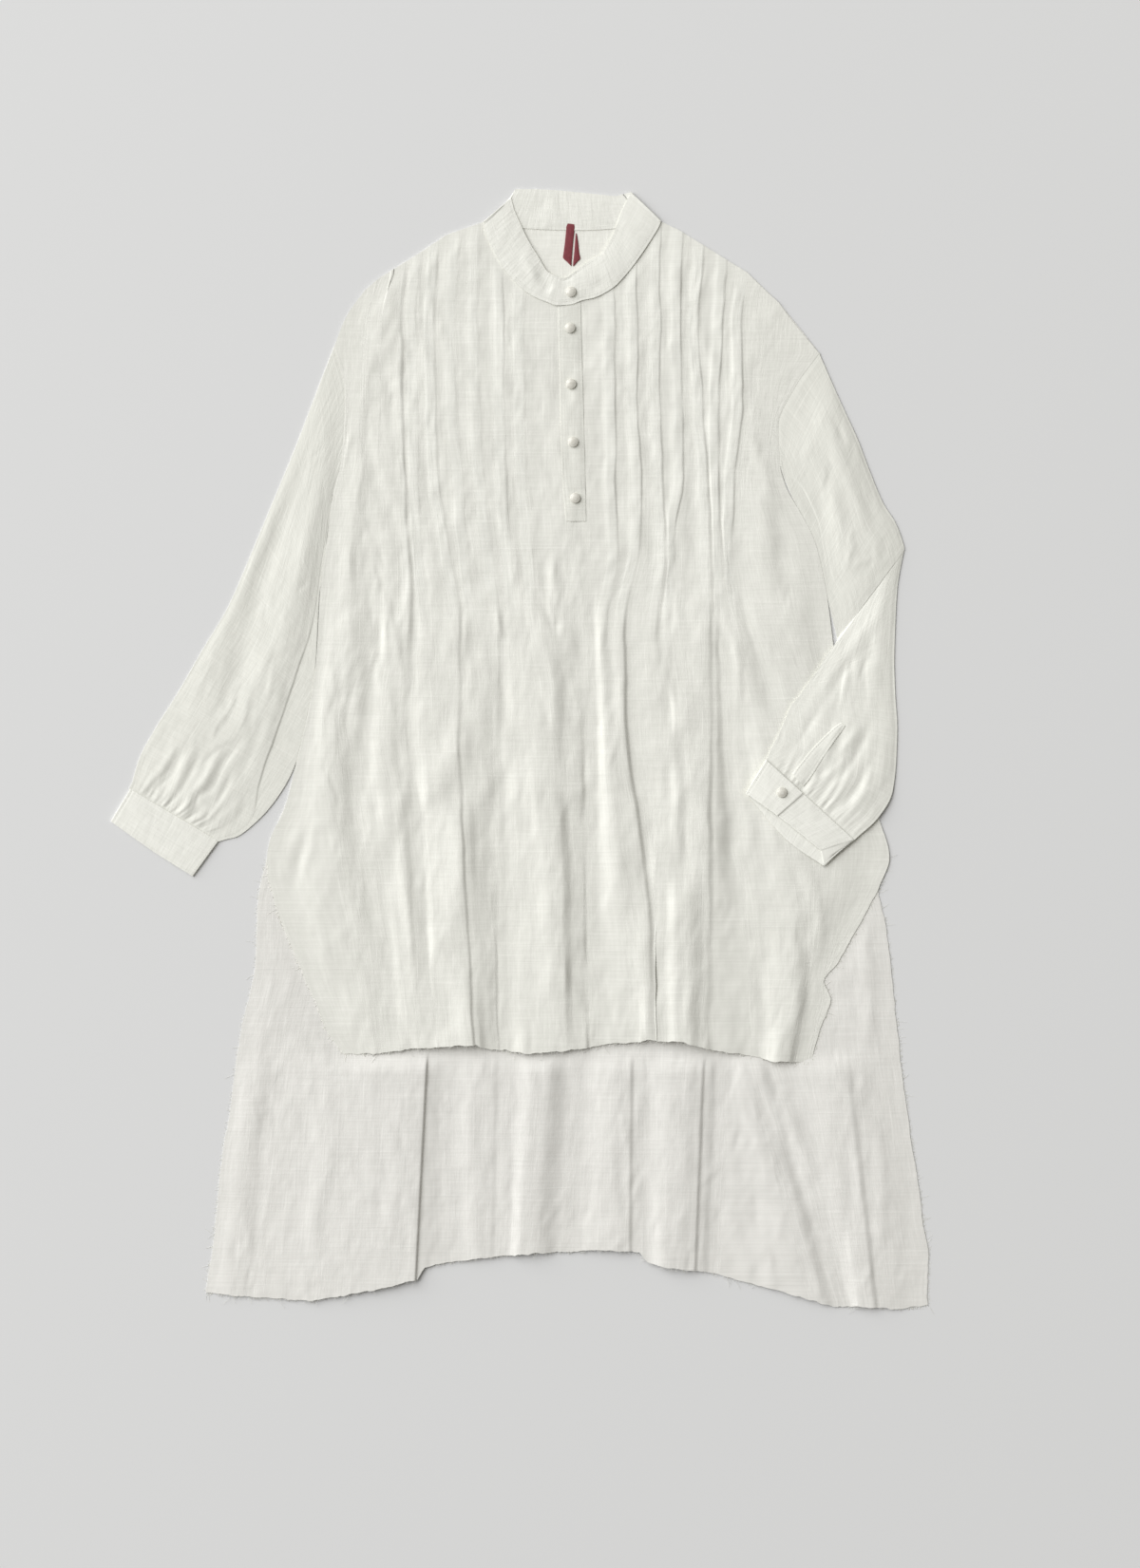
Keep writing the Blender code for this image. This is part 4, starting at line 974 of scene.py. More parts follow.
@dataclass(frozen=True)
class LinenFinish:
    """Washed linen: slubs both ways, a plain weave and a whiter tone where layers lie on each other."""

    name: str
    single: Colour
    doubled: Colour
    shade: float = 0.05
    slub: float = 1.0
    roughness: float = 0.92
    sheen: float = 0.25
    thread: float = 0.00068
    slub_long: float = 28.0
    crinkle: float = 5.5
    slub_fine: float = 0.0011
    relief: float = 0.00007
    sheen_roughness: float = 0.6
    specular: float = 0.12

    def material(self) -> bpy.types.Material:
        """Makes the finish, which reads the piece's UV map and its cover attribute.

        Returns:
            The material.
        """
        recipe = Recipe(self.name)
        place = recipe.place()
        fine = 1.0 / self.slub_fine
        long = 1000.0 / self.slub_long
        warp = recipe.noise(place, (fine, long, 1.0), 1.0, 3.1)
        weft = recipe.noise(place, (long, fine, 1.0), 1.0, 7.7)
        thick_warp = recipe.noise(place, (fine / 2.2, long / 2.0, 1.0), 0.0, 13.0).above(0.60, 0.16)
        thick_weft = recipe.noise(place, (long / 2.0, fine / 2.2, 1.0), 0.0, 23.0).above(0.60, 0.16)
        mottle = recipe.noise(place, (62.0, 55.0, 1.0), 3.0, 31.0)
        crinkle = recipe.noise(place, (150.0, 52.0, 1.0), 4.0, 41.0)
        threads = (warp + weft - 1.0) * self.slub
        slubs = (thick_warp + thick_weft) * self.slub
        tone = threads * 1.3 + slubs * 0.25 + (mottle - 0.5) * 0.7
        cover = recipe.attribute("cover")
        ground = recipe.mixed(cover, self.single, self.doubled)
        dark = tuple(1.0 - 2.0 * self.shade * k for k in (1.0, 1.0, 1.12)) + (1.0,)
        light = tuple(1.0 + 2.0 * self.shade * k for k in (1.0, 1.0, 0.95)) + (1.0,)
        tint = recipe.mixed(tone * 0.5 + 0.5, dark, light)
        shaded = recipe.node("ShaderNodeMix", {"data_type": "RGBA", "blend_type": "MULTIPLY"},
                             {0: 1.0, 6: ground, 7: tint})
        one, two = recipe.waves(place, self.thread, self.thread)
        height = one * two * 0.22 + threads * 0.9 + slubs * 0.55
        height = height + (mottle - 0.5) * 1.5 + crinkle * self.crinkle
        return recipe.shade({"Base Color": shaded.outputs[2], "Normal": recipe.bump(height, self.relief),
                             "Roughness": self.roughness, "Sheen Weight": self.sheen,
                             "Sheen Roughness": self.sheen_roughness, "Specular IOR Level": self.specular})


@dataclass(frozen=True)
class RibbonFinish:
    """Dark red woven ribbon with fine cross ribs."""

    name: str = "dark red ribbon"
    dark: Colour = (0.12, 0.011, 0.018, 1.0)
    light: Colour = (0.26, 0.030, 0.042, 1.0)
    rib: float = 0.0009
    relief: float = 0.00006
    roughness: float = 0.62
    sheen: float = 0.3

    def material(self) -> bpy.types.Material:
        """Makes the finish.

        Returns:
            The material.
        """
        recipe = Recipe(self.name)
        place = recipe.place()
        edge_threads, ribs = recipe.waves(place, self.rib * 0.8, self.rib)
        worn = recipe.noise(place, (700.0, 420.0, 1.0), 3.0, 5.0)
        tone = (ribs * edge_threads) * 0.18 + worn * 1.1 - 0.05
        height = ribs * 0.6 + edge_threads * 0.3 + worn
        return recipe.shade({"Base Color": recipe.mixed(tone, self.dark, self.light),
                             "Normal": recipe.bump(height, self.relief), "Roughness": self.roughness,
                             "Sheen Weight": self.sheen})


@dataclass(frozen=True)
class ButtonFinish:
    """Polished grey-beige shell with faint layers."""

    name: str = "grey shell"
    pale: Colour = (0.76, 0.75, 0.68, 1.0)
    deep: Colour = (0.62, 0.60, 0.53, 1.0)
    gloss: float = 0.24
    relief: float = 0.00003
    coat: float = 0.25
    coat_roughness: float = 0.15

    def material(self) -> bpy.types.Material:
        """Makes the finish.

        Returns:
            The material.
        """
        recipe = Recipe(self.name)
        place = recipe.node("ShaderNodeTexCoord").outputs["Object"]
        clouds = recipe.noise(place, (260.0, 420.0, 300.0), 3.0, 2.0)
        layers = recipe.noise(place, (900.0, 1500.0, 2400.0), 1.0, 9.0)
        tone = (clouds * 0.7 + layers * 0.3).above(0.36, 0.30)
        return recipe.shade({"Base Color": recipe.mixed(tone, self.deep, self.pale),
                             "Roughness": self.gloss + clouds * 0.22,
                             "Normal": recipe.bump(layers, self.relief),
                             "Coat Weight": self.coat, "Coat Roughness": self.coat_roughness})


@dataclass(frozen=True)
class ThreadFinish:
    """Off-white linen thread, slightly uneven in tone."""

    name: str = "linen thread"
    dark: Colour = (0.70, 0.69, 0.62, 1.0)
    light: Colour = (0.84, 0.84, 0.79, 1.0)
    roughness: float = 0.72
    sheen: float = 0.2

    def material(self) -> bpy.types.Material:
        """Makes the finish.

        Returns:
            The material.
        """
        recipe = Recipe(self.name)
        place = recipe.node("ShaderNodeTexCoord").outputs["Object"]
        tone = recipe.noise(place, (420.0, 420.0, 420.0), 2.0, 4.0)
        return recipe.shade({"Base Color": recipe.mixed(tone, self.dark, self.light),
                             "Roughness": self.roughness + tone * 0.2, "Sheen Weight": self.sheen})


@dataclass(frozen=True)
class FloorFinish:
    """The plain pale surface under the tunic."""

    name: str = "pale paper"
    colour: Colour = (0.705, 0.708, 0.704, 1.0)
    roughness: float = 0.95
    specular: float = 0.05

    def material(self) -> bpy.types.Material:
        """Returns the finish as a material."""
        return Recipe(self.name).shade({"Base Color": self.colour, "Roughness": self.roughness,
                                        "Specular IOR Level": self.specular})


class Wardrobe:
    """The finishes that the pieces take."""

    def __init__(self) -> None:
        """Makes each material once."""
        self.front, self.back, self.sleeve, self.band = [
            LinenFinish(name, single, doubled).material() for name, single, doubled in (
                ("front linen", (0.762, 0.760, 0.706, 1), (0.800, 0.800, 0.745, 1)),
                ("back linen", (0.752, 0.742, 0.706, 1), (0.825, 0.822, 0.765, 1)),
                ("sleeve linen", (0.745, 0.745, 0.688, 1), (0.835, 0.835, 0.775, 1)),
                ("doubled linen", (0.785, 0.785, 0.730, 1), (0.865, 0.865, 0.806, 1)))]
        self.thread = ThreadFinish().material()
        self.ribbon = RibbonFinish().material()
        self.shell = ButtonFinish().material()
        self.floor = FloorFinish().material()


def dress(piece: bpy.types.Object, node: str, material: bpy.types.Material) -> None:
    """Gives a piece its material, puts it under the root body and hides the CAD node that it stands for.

    Args:
        piece: The piece.
        node: The CAD node's name.
        material: The finish.
    """
    piece.data.materials.append(material)
    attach(piece, "root")
    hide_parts(node)
    LOG.info("%s: %d points", piece.name, len(piece.data.vertices))


class Line(NamedTuple):
    """An edge or fold line of a panel.

    place gives its x at a height, left and right how high the cloth stands on its two sides, crisp how
    sharp its edge is, reach how far to each side of it the edge's own columns stand, and slope how the
    cloth slopes across it.
    """

    place: Along
    left: Along
    right: Along
    crisp: Along
    reach: Along
    slope: Along = np.zeros_like


class Column(NamedTuple):
    """A column of a panel: its x, height and cover as functions of y."""

    place: Along
    height: Along
    cover: Along


# A fold edge seen end on, from its high side to its low side: how far over each column lies when the
# edge is soft, in shares of its reach, and when it is crisp, and how much of the step it has come down
SOFT_OVER = (-1.0, -0.66, -0.33, 0.0, 0.33, 0.66, 1.0)
SOFT_DROP = (0.0, 0.09, 0.27, 0.5, 0.73, 0.91, 1.0)
EDGE_OVER = (-1.8, -0.85, -0.32, 0.05, 0.42, 0.85, 1.7)
EDGE_DROP = (0.0, 0.08, 0.28, 0.56, 0.84, 0.97, 1.0)
EDGE_FULL = 1.3
EDGE_REACH = 2.1
GAP_CLEAR = 0.4
SOFT_STEP = 0.6
SIDE_REACH = 0.6
TUCK_STEP = 1.0
# The height at which a column's place across the weave is read, and the height where the slits begin
WEAVE_FROM = 100.0
SLIT_TOP = -110.0


def edge_columns(line: Line, cover: Callable[[np.ndarray, int], np.ndarray]) -> list[Column]:
    """Makes the columns of a fold line. Where it is crisp, the higher cloth turns in under itself.

    Args:
        line: The fold line.
        cover: The cover on its left (-1) or right (1) side at a height.

    Returns:
        Seven columns, left to right.
    """
    count = len(SOFT_OVER)

    def turned(y: np.ndarray) -> np.ndarray:
        """Returns how far the edge is turned in, 0 to 1."""
        return np.clip(np.abs(line.left(y) - line.right(y)) / EDGE_FULL, 0.0, 1.0) * line.crisp(y)

    def column(k: int) -> Column:
        """Makes one column.

        Args:
            k: Its number, from the left.

        Returns:
            The column.
        """
        def rank(y: np.ndarray) -> np.ndarray:
            """Returns the column's number counted from the high side."""
            return np.where(line.left(y) >= line.right(y), k, count - 1 - k)

        def place(y: np.ndarray) -> np.ndarray:
            """Places the column's points.

            Args:
                y: Places down the cloth.

            Returns:
                Their x.
            """
            soft = np.take(SOFT_OVER, rank(y)) * line.reach(y)
            over = blend(soft, np.take(EDGE_OVER, rank(y)), turned(y))
            return line.place(y) + over * np.where(line.left(y) >= line.right(y), 1.0, -1.0)

        def height(y: np.ndarray) -> np.ndarray:
            """Finds the column's height.

            Args:
                y: Places down the cloth.

            Returns:
                The heights.
            """
            left, right = line.left(y), line.right(y)
            drop = blend(np.take(SOFT_DROP, rank(y)), np.take(EDGE_DROP, rank(y)), turned(y))
            stepped = np.maximum(left, right) - np.abs(left - right) * drop
            return stepped + line.slope(y) * (place(y) - line.place(y))

        return Column(place, height, lambda y: cover(y, -1 if k < count // 2 else 1))

    return [column(k) for k in range(count)]


def drape(one: Line, two: Line, t: float, y: np.ndarray) -> np.ndarray:
    """Works out how cloth swells between two fold lines, sharp only at the foot of a crisp edge.

    Args:
        one: The line on the left.
        two: The line on the right.
        t: How far over the place is, 0 to 1.
        y: The heights along the panel.

    Returns:
        How high the cloth stands.
    """
    start, end = one.reach(y) + GAP_CLEAR, two.reach(y) + GAP_CLEAR
    width = two.place(y) - one.place(y) - start - end
    low, high = one.right(y) + one.slope(y) * start, two.left(y) - two.slope(y) * end
    rising = high > low
    crisp = np.where(rising, one.crisp(y), two.crisp(y))
    full = np.where(rising, math.sin(t * math.pi / 2), 1.0 - math.cos(t * math.pi / 2))
    bend = width * (t * (1 - t) ** 2 * one.slope(y) - t * t * (1 - t) * two.slope(y))
    return blend(low, high, blend(float(ease(t)), full, crisp)) + bend


def with_slopes(lines: list[Line]) -> list[Line]:
    """Finds how the cloth slopes across each soft fold line, from the lines beside it.

    Args:
        lines: A panel's lines, from left to right.

    Returns:
        The lines, with their slopes.
    """
    found = [lines[0]]
    for before, line, after in zip(lines, lines[1:], lines[2:]):
        def slope(y: np.ndarray, before: Line = before, line: Line = line, after: Line = after) -> np.ndarray:
            """Finds the slope across the line.

            Args:
                y: Places down the cloth.
                before: The line on its left.
                line: The line.
                after: The line on its right.

            Returns:
                The slope, 0 at a crisp step.
            """
            one = (line.left(y) - before.right(y)) / (line.place(y) - before.place(y))
            two = (after.left(y) - line.right(y)) / (after.place(y) - line.place(y))
            product = one * two
            total = np.where(product > 0.0, one + two, 1.0)
            soft = np.clip(1.0 - np.abs(line.left(y) - line.right(y)) / SOFT_STEP, 0.0, 1.0)
            return np.where(product > 0.0, 2.0 * product / total, 0.0) * soft

        found.append(line._replace(slope=slope))
    return found + [lines[-1]]


def soft_floor(height: np.ndarray, floor: np.ndarray | float, softness: float) -> np.ndarray:
    """Returns the heights, held above a floor with no sharp corner."""
    over = height - floor
    return floor + 0.5 * (over + np.sqrt(over * over + softness * softness))


def from_sides(x: np.ndarray) -> np.ndarray:
    """Returns how far each point of a panel's rows stands from its nearer side edge."""
    return np.minimum(np.abs(x - x[:, :1]), np.abs(x - x[:, -1:]))


def raw_edge(points: np.ndarray, seed: int) -> None:
    """Makes the cut edges of a panel slightly uneven: the hem, and the sides below SLIT_TOP.

    Args:
        points: The panel's grid, rows running up. It is changed.
        seed: Which of the patterns.
    """
    x, y = points[0, :, 0].copy(), points[0, :, 1].copy()
    wander = 0.8 * ripple(x, y, 7.0, 50.0, seed) + 0.5 * ripple(x, y, 2.6, 50.0, seed + 1)
    for row, share in ((0, 1.0), (1, 0.6), (2, 0.25)):
        points[row, :, 1] += wander * share
    for column, inner, inmost in ((0, 1, 2), (-1, -2, -3)):
        down = points[:, column, 1].copy()
        shift = 0.7 * ripple(down, down, 9.0, 900.0, seed + 2)
        shift += 0.5 * ripple(down, down, 4.0, 900.0, seed + 3)
        shift *= ease((SLIT_TOP - down) / 12.0)
        points[:, column, 0] += shift
        points[:, inner, 0] += 0.6 * shift
        points[:, inmost, 0] += 0.25 * shift


@dataclass(kw_only=True)
class Cut:
    """A piece of cloth: its names, what it rests on, how it was cut, and its wall in millimetres."""

    name: str
    node: str
    slot: Slot
    rests_on: tuple[str, ...]
    flat: tuple[float, float]
    area: float
    wall: float

    def finish(self, points: np.ndarray, weave: np.ndarray, cover: np.ndarray,
               material: bpy.types.Material, tube: bool = False) -> bpy.types.Object:
        """Makes the piece from its laid-out points.

        Args:
            points: Rows by columns by three.
            weave: The weave's coordinates at each.
            cover: How many layers show through at each.
            material: Its finish.
            tube: Whether its columns close up.

        Returns:
            The dressed piece.
        """
        piece = cloth_mesh(self.name, points, weave, cover, tube)
        dress(piece, self.node, material)
        thicken(piece, self.wall)
        return piece

    def state(self, piece: bpy.types.Object, threads: Sequence[bpy.types.Object] = ()) -> None:
        """Takes the piece and the threads that go with it, and does nothing with them."""


@dataclass(kw_only=True)
class Panel(Cut):
    """A flat panel of the body, with fold lines running down it.

    Its top edge and hem run to the right, its left and right edges down.
    """

    slot: Slot = Slot.LINEN
    base: float
    top_edge: Outline
    left: Outline
    right: Outline
    hem: Outline
    pitch: float = 3.6

    def between(self, one: Line, two: Line, t: float) -> Along:
        """Places a column in a gap, clear of the fold edges beside it.

        Args:
            one: The line on its left.
            two: The line on its right.
            t: How far over the gap it stands, 0 to 1.

        Returns:
            Its x as a function of y.
        """
        def place(y: np.ndarray) -> np.ndarray:
            """Returns the column's x."""
            start = one.place(y) + one.reach(y) + GAP_CLEAR
            return blend(start, two.place(y) - two.reach(y) - GAP_CLEAR, t)

        return place

    def columns(self, folds: list[Line], read: np.ndarray,
                fill: Callable[[int, Line, Line, float], Column],
                cover: Callable[[int], Callable[[np.ndarray, int], np.ndarray]]) -> list[Column]:
        """Spreads the panel's columns, from its left edge to its right edge.

        Args:
            folds: The fold lines, left to right.
            read: The heights at which the gaps between them are measured.
            fill: Makes a column from its gap's number and two lines, and how far over it stands.
            cover: The cover at a fold line, by its number.

        Returns:
            The columns.
        """
        sides = [Line(lambda y, points=points: down_line(points, y), np.zeros_like, np.zeros_like,
                      np.zeros_like, lambda y: np.full_like(y, SIDE_REACH))
                 for points in (self.left, self.right)]
        lines = with_slopes([sides[0], *folds, sides[1]])
        columns = [Column(sides[0].place, np.zeros_like, np.zeros_like)]
        for i, (one, two) in enumerate(zip(lines, lines[1:])):
            width = float(np.max(two.place(read) - one.place(read)))
            count = max(5, round((width - 3.0) / self.pitch))
            columns += [fill(i, one, two, float(t)) for t in np.linspace(0.0, 1.0, count + 2)[1:-1]]
            if i < len(folds):
                columns += edge_columns(two, cover(i))
        return columns + [Column(sides[1].place, np.zeros_like, np.zeros_like)]

    def grid(self, columns: list[Column],
             shares: np.ndarray) -> tuple[np.ndarray, np.ndarray, np.ndarray]:
        """Lays out the columns.

        Args:
            columns: From the left edge to the right edge.
            shares: Where the rows stand, 0 at the top to 1 at the hem.

        Returns:
            The points, the weave's coordinates and the cover, rows running up.
        """
        shares = shares[::-1]
        points = np.zeros((len(shares), len(columns), 3))
        cover = np.zeros(points.shape[:2])
        weave = np.zeros((*points.shape[:2], 2))
        sides = {0: self.left, len(columns) - 1: self.right}
        for i, column in enumerate(columns):
            if i in sides:
                top, low = sides[i][0][1], sides[i][-1][1]
            else:
                top = edge_height(self.top_edge, column.place(np.array([ABOVE]))[0])
                low = edge_height(self.hem, column.place(np.array([BELOW]))[0])
            y = blend(top, low, shares)
            points[:, i] = np.stack([column.place(y), y, self.base + column.height(y)], axis=1)
            cover[:, i] = column.cover(y)
            weave[:, i, 0] = column.place(np.array([WEAVE_FROM]))[0]
            weave[:, i, 1] = y
        return points, weave, cover


@dataclass(kw_only=True)
class Front(Panel):
    """The front panel, with stitched tucks on both sides of the placket that open into folds."""

    name: str = "front_cloth"
    node: str = "front"
    rests_on: tuple[str, ...] = ("back_cloth",)
    flat: tuple[float, float] = (0.66, 0.86)
    area: float = 0.455
    wall: float = 0.45
    base: float = FRONT_BASE
    top_edge: Outline = (*SHOULDER_LEFT, NECK_LEFT, *FRONT_NECK, NECK_RIGHT, *SHOULDER_RIGHT)
    left: Outline = (*ARMHOLE_LEFT, *SIDE_LEFT, *FRONT_SLIT_LEFT)
    right: Outline = (*ARMHOLE_RIGHT, *SIDE_RIGHT, *FRONT_SLIT_RIGHT)
    hem: Outline = tuple(FRONT_HEM)
    tuck_band: float = 11.0
    band_ramp: float = 5.0
    bib_relief: float = 0.17
    uneven: float = 0.3
    wander: float = 0.9
    soft_reach: float = 5.0
    bib_foot: float = 112.0
    bib_fade: float = 60.0
    crumple_skirt: float = 1.0
    crumple_bib: float = 1.45
    stitch_dip: float = 0.1
    floor: float = 0.45
    side_fade: float = 36.0
    top_fade: float = 26.0
    side_low: float = 0.3
    under_sleeve: float = 245.0
    gaps_read: tuple[float, ...] = (300.0, -200.0)

    def bibness(self, y: np.ndarray) -> np.ndarray:
        """Returns 1 on the bib, where the tucks are stitched down, and 0 on the skirt."""
        return ease((y - self.bib_foot) / self.bib_fade)

    def fold_line(self, number: int, fold: Fold) -> Line:
        """Makes the line of one tuck or fold, a little uneven along its length.

        Args:
            number: Its number, from the left.
            fold: Its sizes.

        Returns:
            The line.
        """
        ys = [edge_height(self.hem, fold.hem), *reversed(FOLD_RUN_Y), edge_height(self.top_edge, fold.top)]
        xs = [fold.hem, *reversed(fold.run), fold.top]
        pairs = (fold.edge, fold.skirt, fold.release, fold.bib)
        knots = tuple(reversed(FOLD_LEVEL_Y))

        def level(y: np.ndarray, side: int) -> np.ndarray:
            """Finds how high the cloth stands on one side.

            Args:
                y: Places down the cloth.
                side: 0 for the left side, 1 for the right.

            Returns:
                The heights.
            """
            height = smooth_through(knots, [pair[side] for pair in pairs], y)
            uneven = 1.0 + self.uneven * ripple(y, y * 0.0, 38.0, 1.0, 500 + number)
            return height * uneven * blend(1.0, self.bib_relief, self.bibness(y))

        def place(y: np.ndarray) -> np.ndarray:
            """Places the line's points.

            Args:
                y: Places down the cloth.

            Returns:
                Their x.
            """
            wander = ripple(y, y * 0.0, 33.0, 1.0, 600 + number)
            wander += 0.5 * ripple(y, y * 0.0, 14.0, 1.0, 700 + number)
            return smooth_through(ys, xs, y) + self.wander * wander * ease((ys[-1] - y) / 20.0)

        def crisp(y: np.ndarray) -> np.ndarray:
            """Returns how sharp the edge is."""
            return smooth_through(knots, tuple(reversed(fold.crisp)), y)

        return Line(place, lambda y: level(y, 0), lambda y: level(y, 1), crisp,
                    lambda y: blend(self.soft_reach, EDGE_REACH, crisp(y)))

    def gap_column(self, gap: int, one: Line, two: Line, t: float) -> Column:
        """Makes a column between two fold lines, on a tuck where one is stitched down there.

        Args:
            gap: The gap's number, from the left.
            one: The line on its left.
            two: The line on its right.
            t: How far over it stands, 0 to 1.

        Returns:
            The column.
        """
        tuck = 0 < gap < len(FRONT_FOLDS) and self.is_tuck(FRONT_FOLDS[gap - 1], FRONT_FOLDS[gap])
        place = self.between(one, two, t)

        def from_edge(y: np.ndarray) -> np.ndarray:
            """Returns how far the column stands from the edge of the tuck."""
            x = place(y)
            return np.where(two.left(y) > one.right(y), two.place(y) - x, x - one.place(y))

        def band(y: np.ndarray) -> np.ndarray:
            """Returns how far the tuck's own width covers this column, 0 to 1."""
            return ease((self.tuck_band - from_edge(y)) / self.band_ramp + 0.5)

        def height(y: np.ndarray) -> np.ndarray:
            """Finds the column's height.

            Args:
                y: Places down the cloth.

            Returns:
                The heights.
            """
            draped = drape(one, two, t, y)
            if not tuck:
                return draped
            low, high = one.right(y), two.left(y)
            dip = self.stitch_dip * bell(from_edge(y) - self.tuck_band, 0.9)
            stitched = blend(np.minimum(low, high), np.maximum(low, high), band(y)) - dip
            return blend(draped, stitched, self.bibness(y))

        def cover(y: np.ndarray) -> np.ndarray:
            """Returns how much of a tuck's layers lie here."""
            return band(y) * self.bibness(y) if tuck else np.zeros_like(y)

        return Column(place, height, cover)

    def fold_cover(self, number: int) -> Callable[[np.ndarray, int], np.ndarray]:
        """Finds the cover beside a fold line: that of a tuck on its high side.

        Args:
            number: The fold's number, from the left.

        Returns:
            The cover as a function of y and the side.
        """
        def cover(y: np.ndarray, side: int) -> np.ndarray:
            """Returns the cover on one side."""
            near, other = FRONT_FOLDS[number].bib if side < 0 else reversed(FRONT_FOLDS[number].bib)
            return self.bibness(y) if near > other + TUCK_STEP else np.zeros_like(y)

        return cover

    def is_tuck(self, one: Fold, two: Fold) -> bool:
        """Tells whether a tuck is stitched down between two fold lines.

        Args:
            one: The fold on its left.
            two: The fold on its right.

        Returns:
            True if one is.
        """
        near, far = one.bib[1], two.bib[0]
        rising = far - near > 2.0 * TUCK_STEP and far > two.bib[1] + TUCK_STEP
        return rising or near - far > 2.0 * TUCK_STEP and near > one.bib[0] + TUCK_STEP

    def build(self, material: bpy.types.Material) -> bpy.types.Object:
        """Makes the piece.

        Args:
            material: Its finish.

        Returns:
            The dressed piece.
        """
        folds = [self.fold_line(number, fold) for number, fold in enumerate(FRONT_FOLDS)]
        columns = self.columns(folds, np.array(self.gaps_read), self.gap_column, self.fold_cover)
        shares = np.concatenate([np.linspace(0.0, 0.985, 162), [0.990, 0.994, 0.9975, 1.0]])
        points, weave, cover = self.grid(columns, shares)
        x, y = points[..., 0], points[..., 1]
        points[..., 2] += crease_heights(x, y, FRONT_CREASES)
        skirt = small_creases((-240, -300, 360, 140), 170, (3.0, 16.0), 0.42, 21)
        flank = small_creases((-215, -60, -120, 240), 46, (-8.0, 20.0), 0.7, 23)
        bodice = small_creases((-180, 120, 290, 480), 150, (0.0, 24.0), 0.4, 25)
        points[..., 2] += crease_heights(x, y, skirt + flank + bodice)
        points[..., 2] += crumple(x, y, 11) * blend(self.crumple_skirt, self.crumple_bib, self.bibness(y))
        points[..., 2] = soft_floor(points[..., 2], self.base - self.floor, 0.25)
        edge = from_sides(x)
        below = edge_height(self.top_edge, x) - y
        press = ease(edge / self.side_fade) * blend(0.25, 1.0, ease(below / self.top_fade))
        points[..., 2] = blend(self.base - self.side_low, points[..., 2], press)
        points[..., 2] -= 0.15 * (1.0 - np.clip(edge / 0.9, 0.0, 1.0)) * (y > self.under_sleeve)
        raw_edge(points, 41)
        return self.finish(points, weave, cover, material)


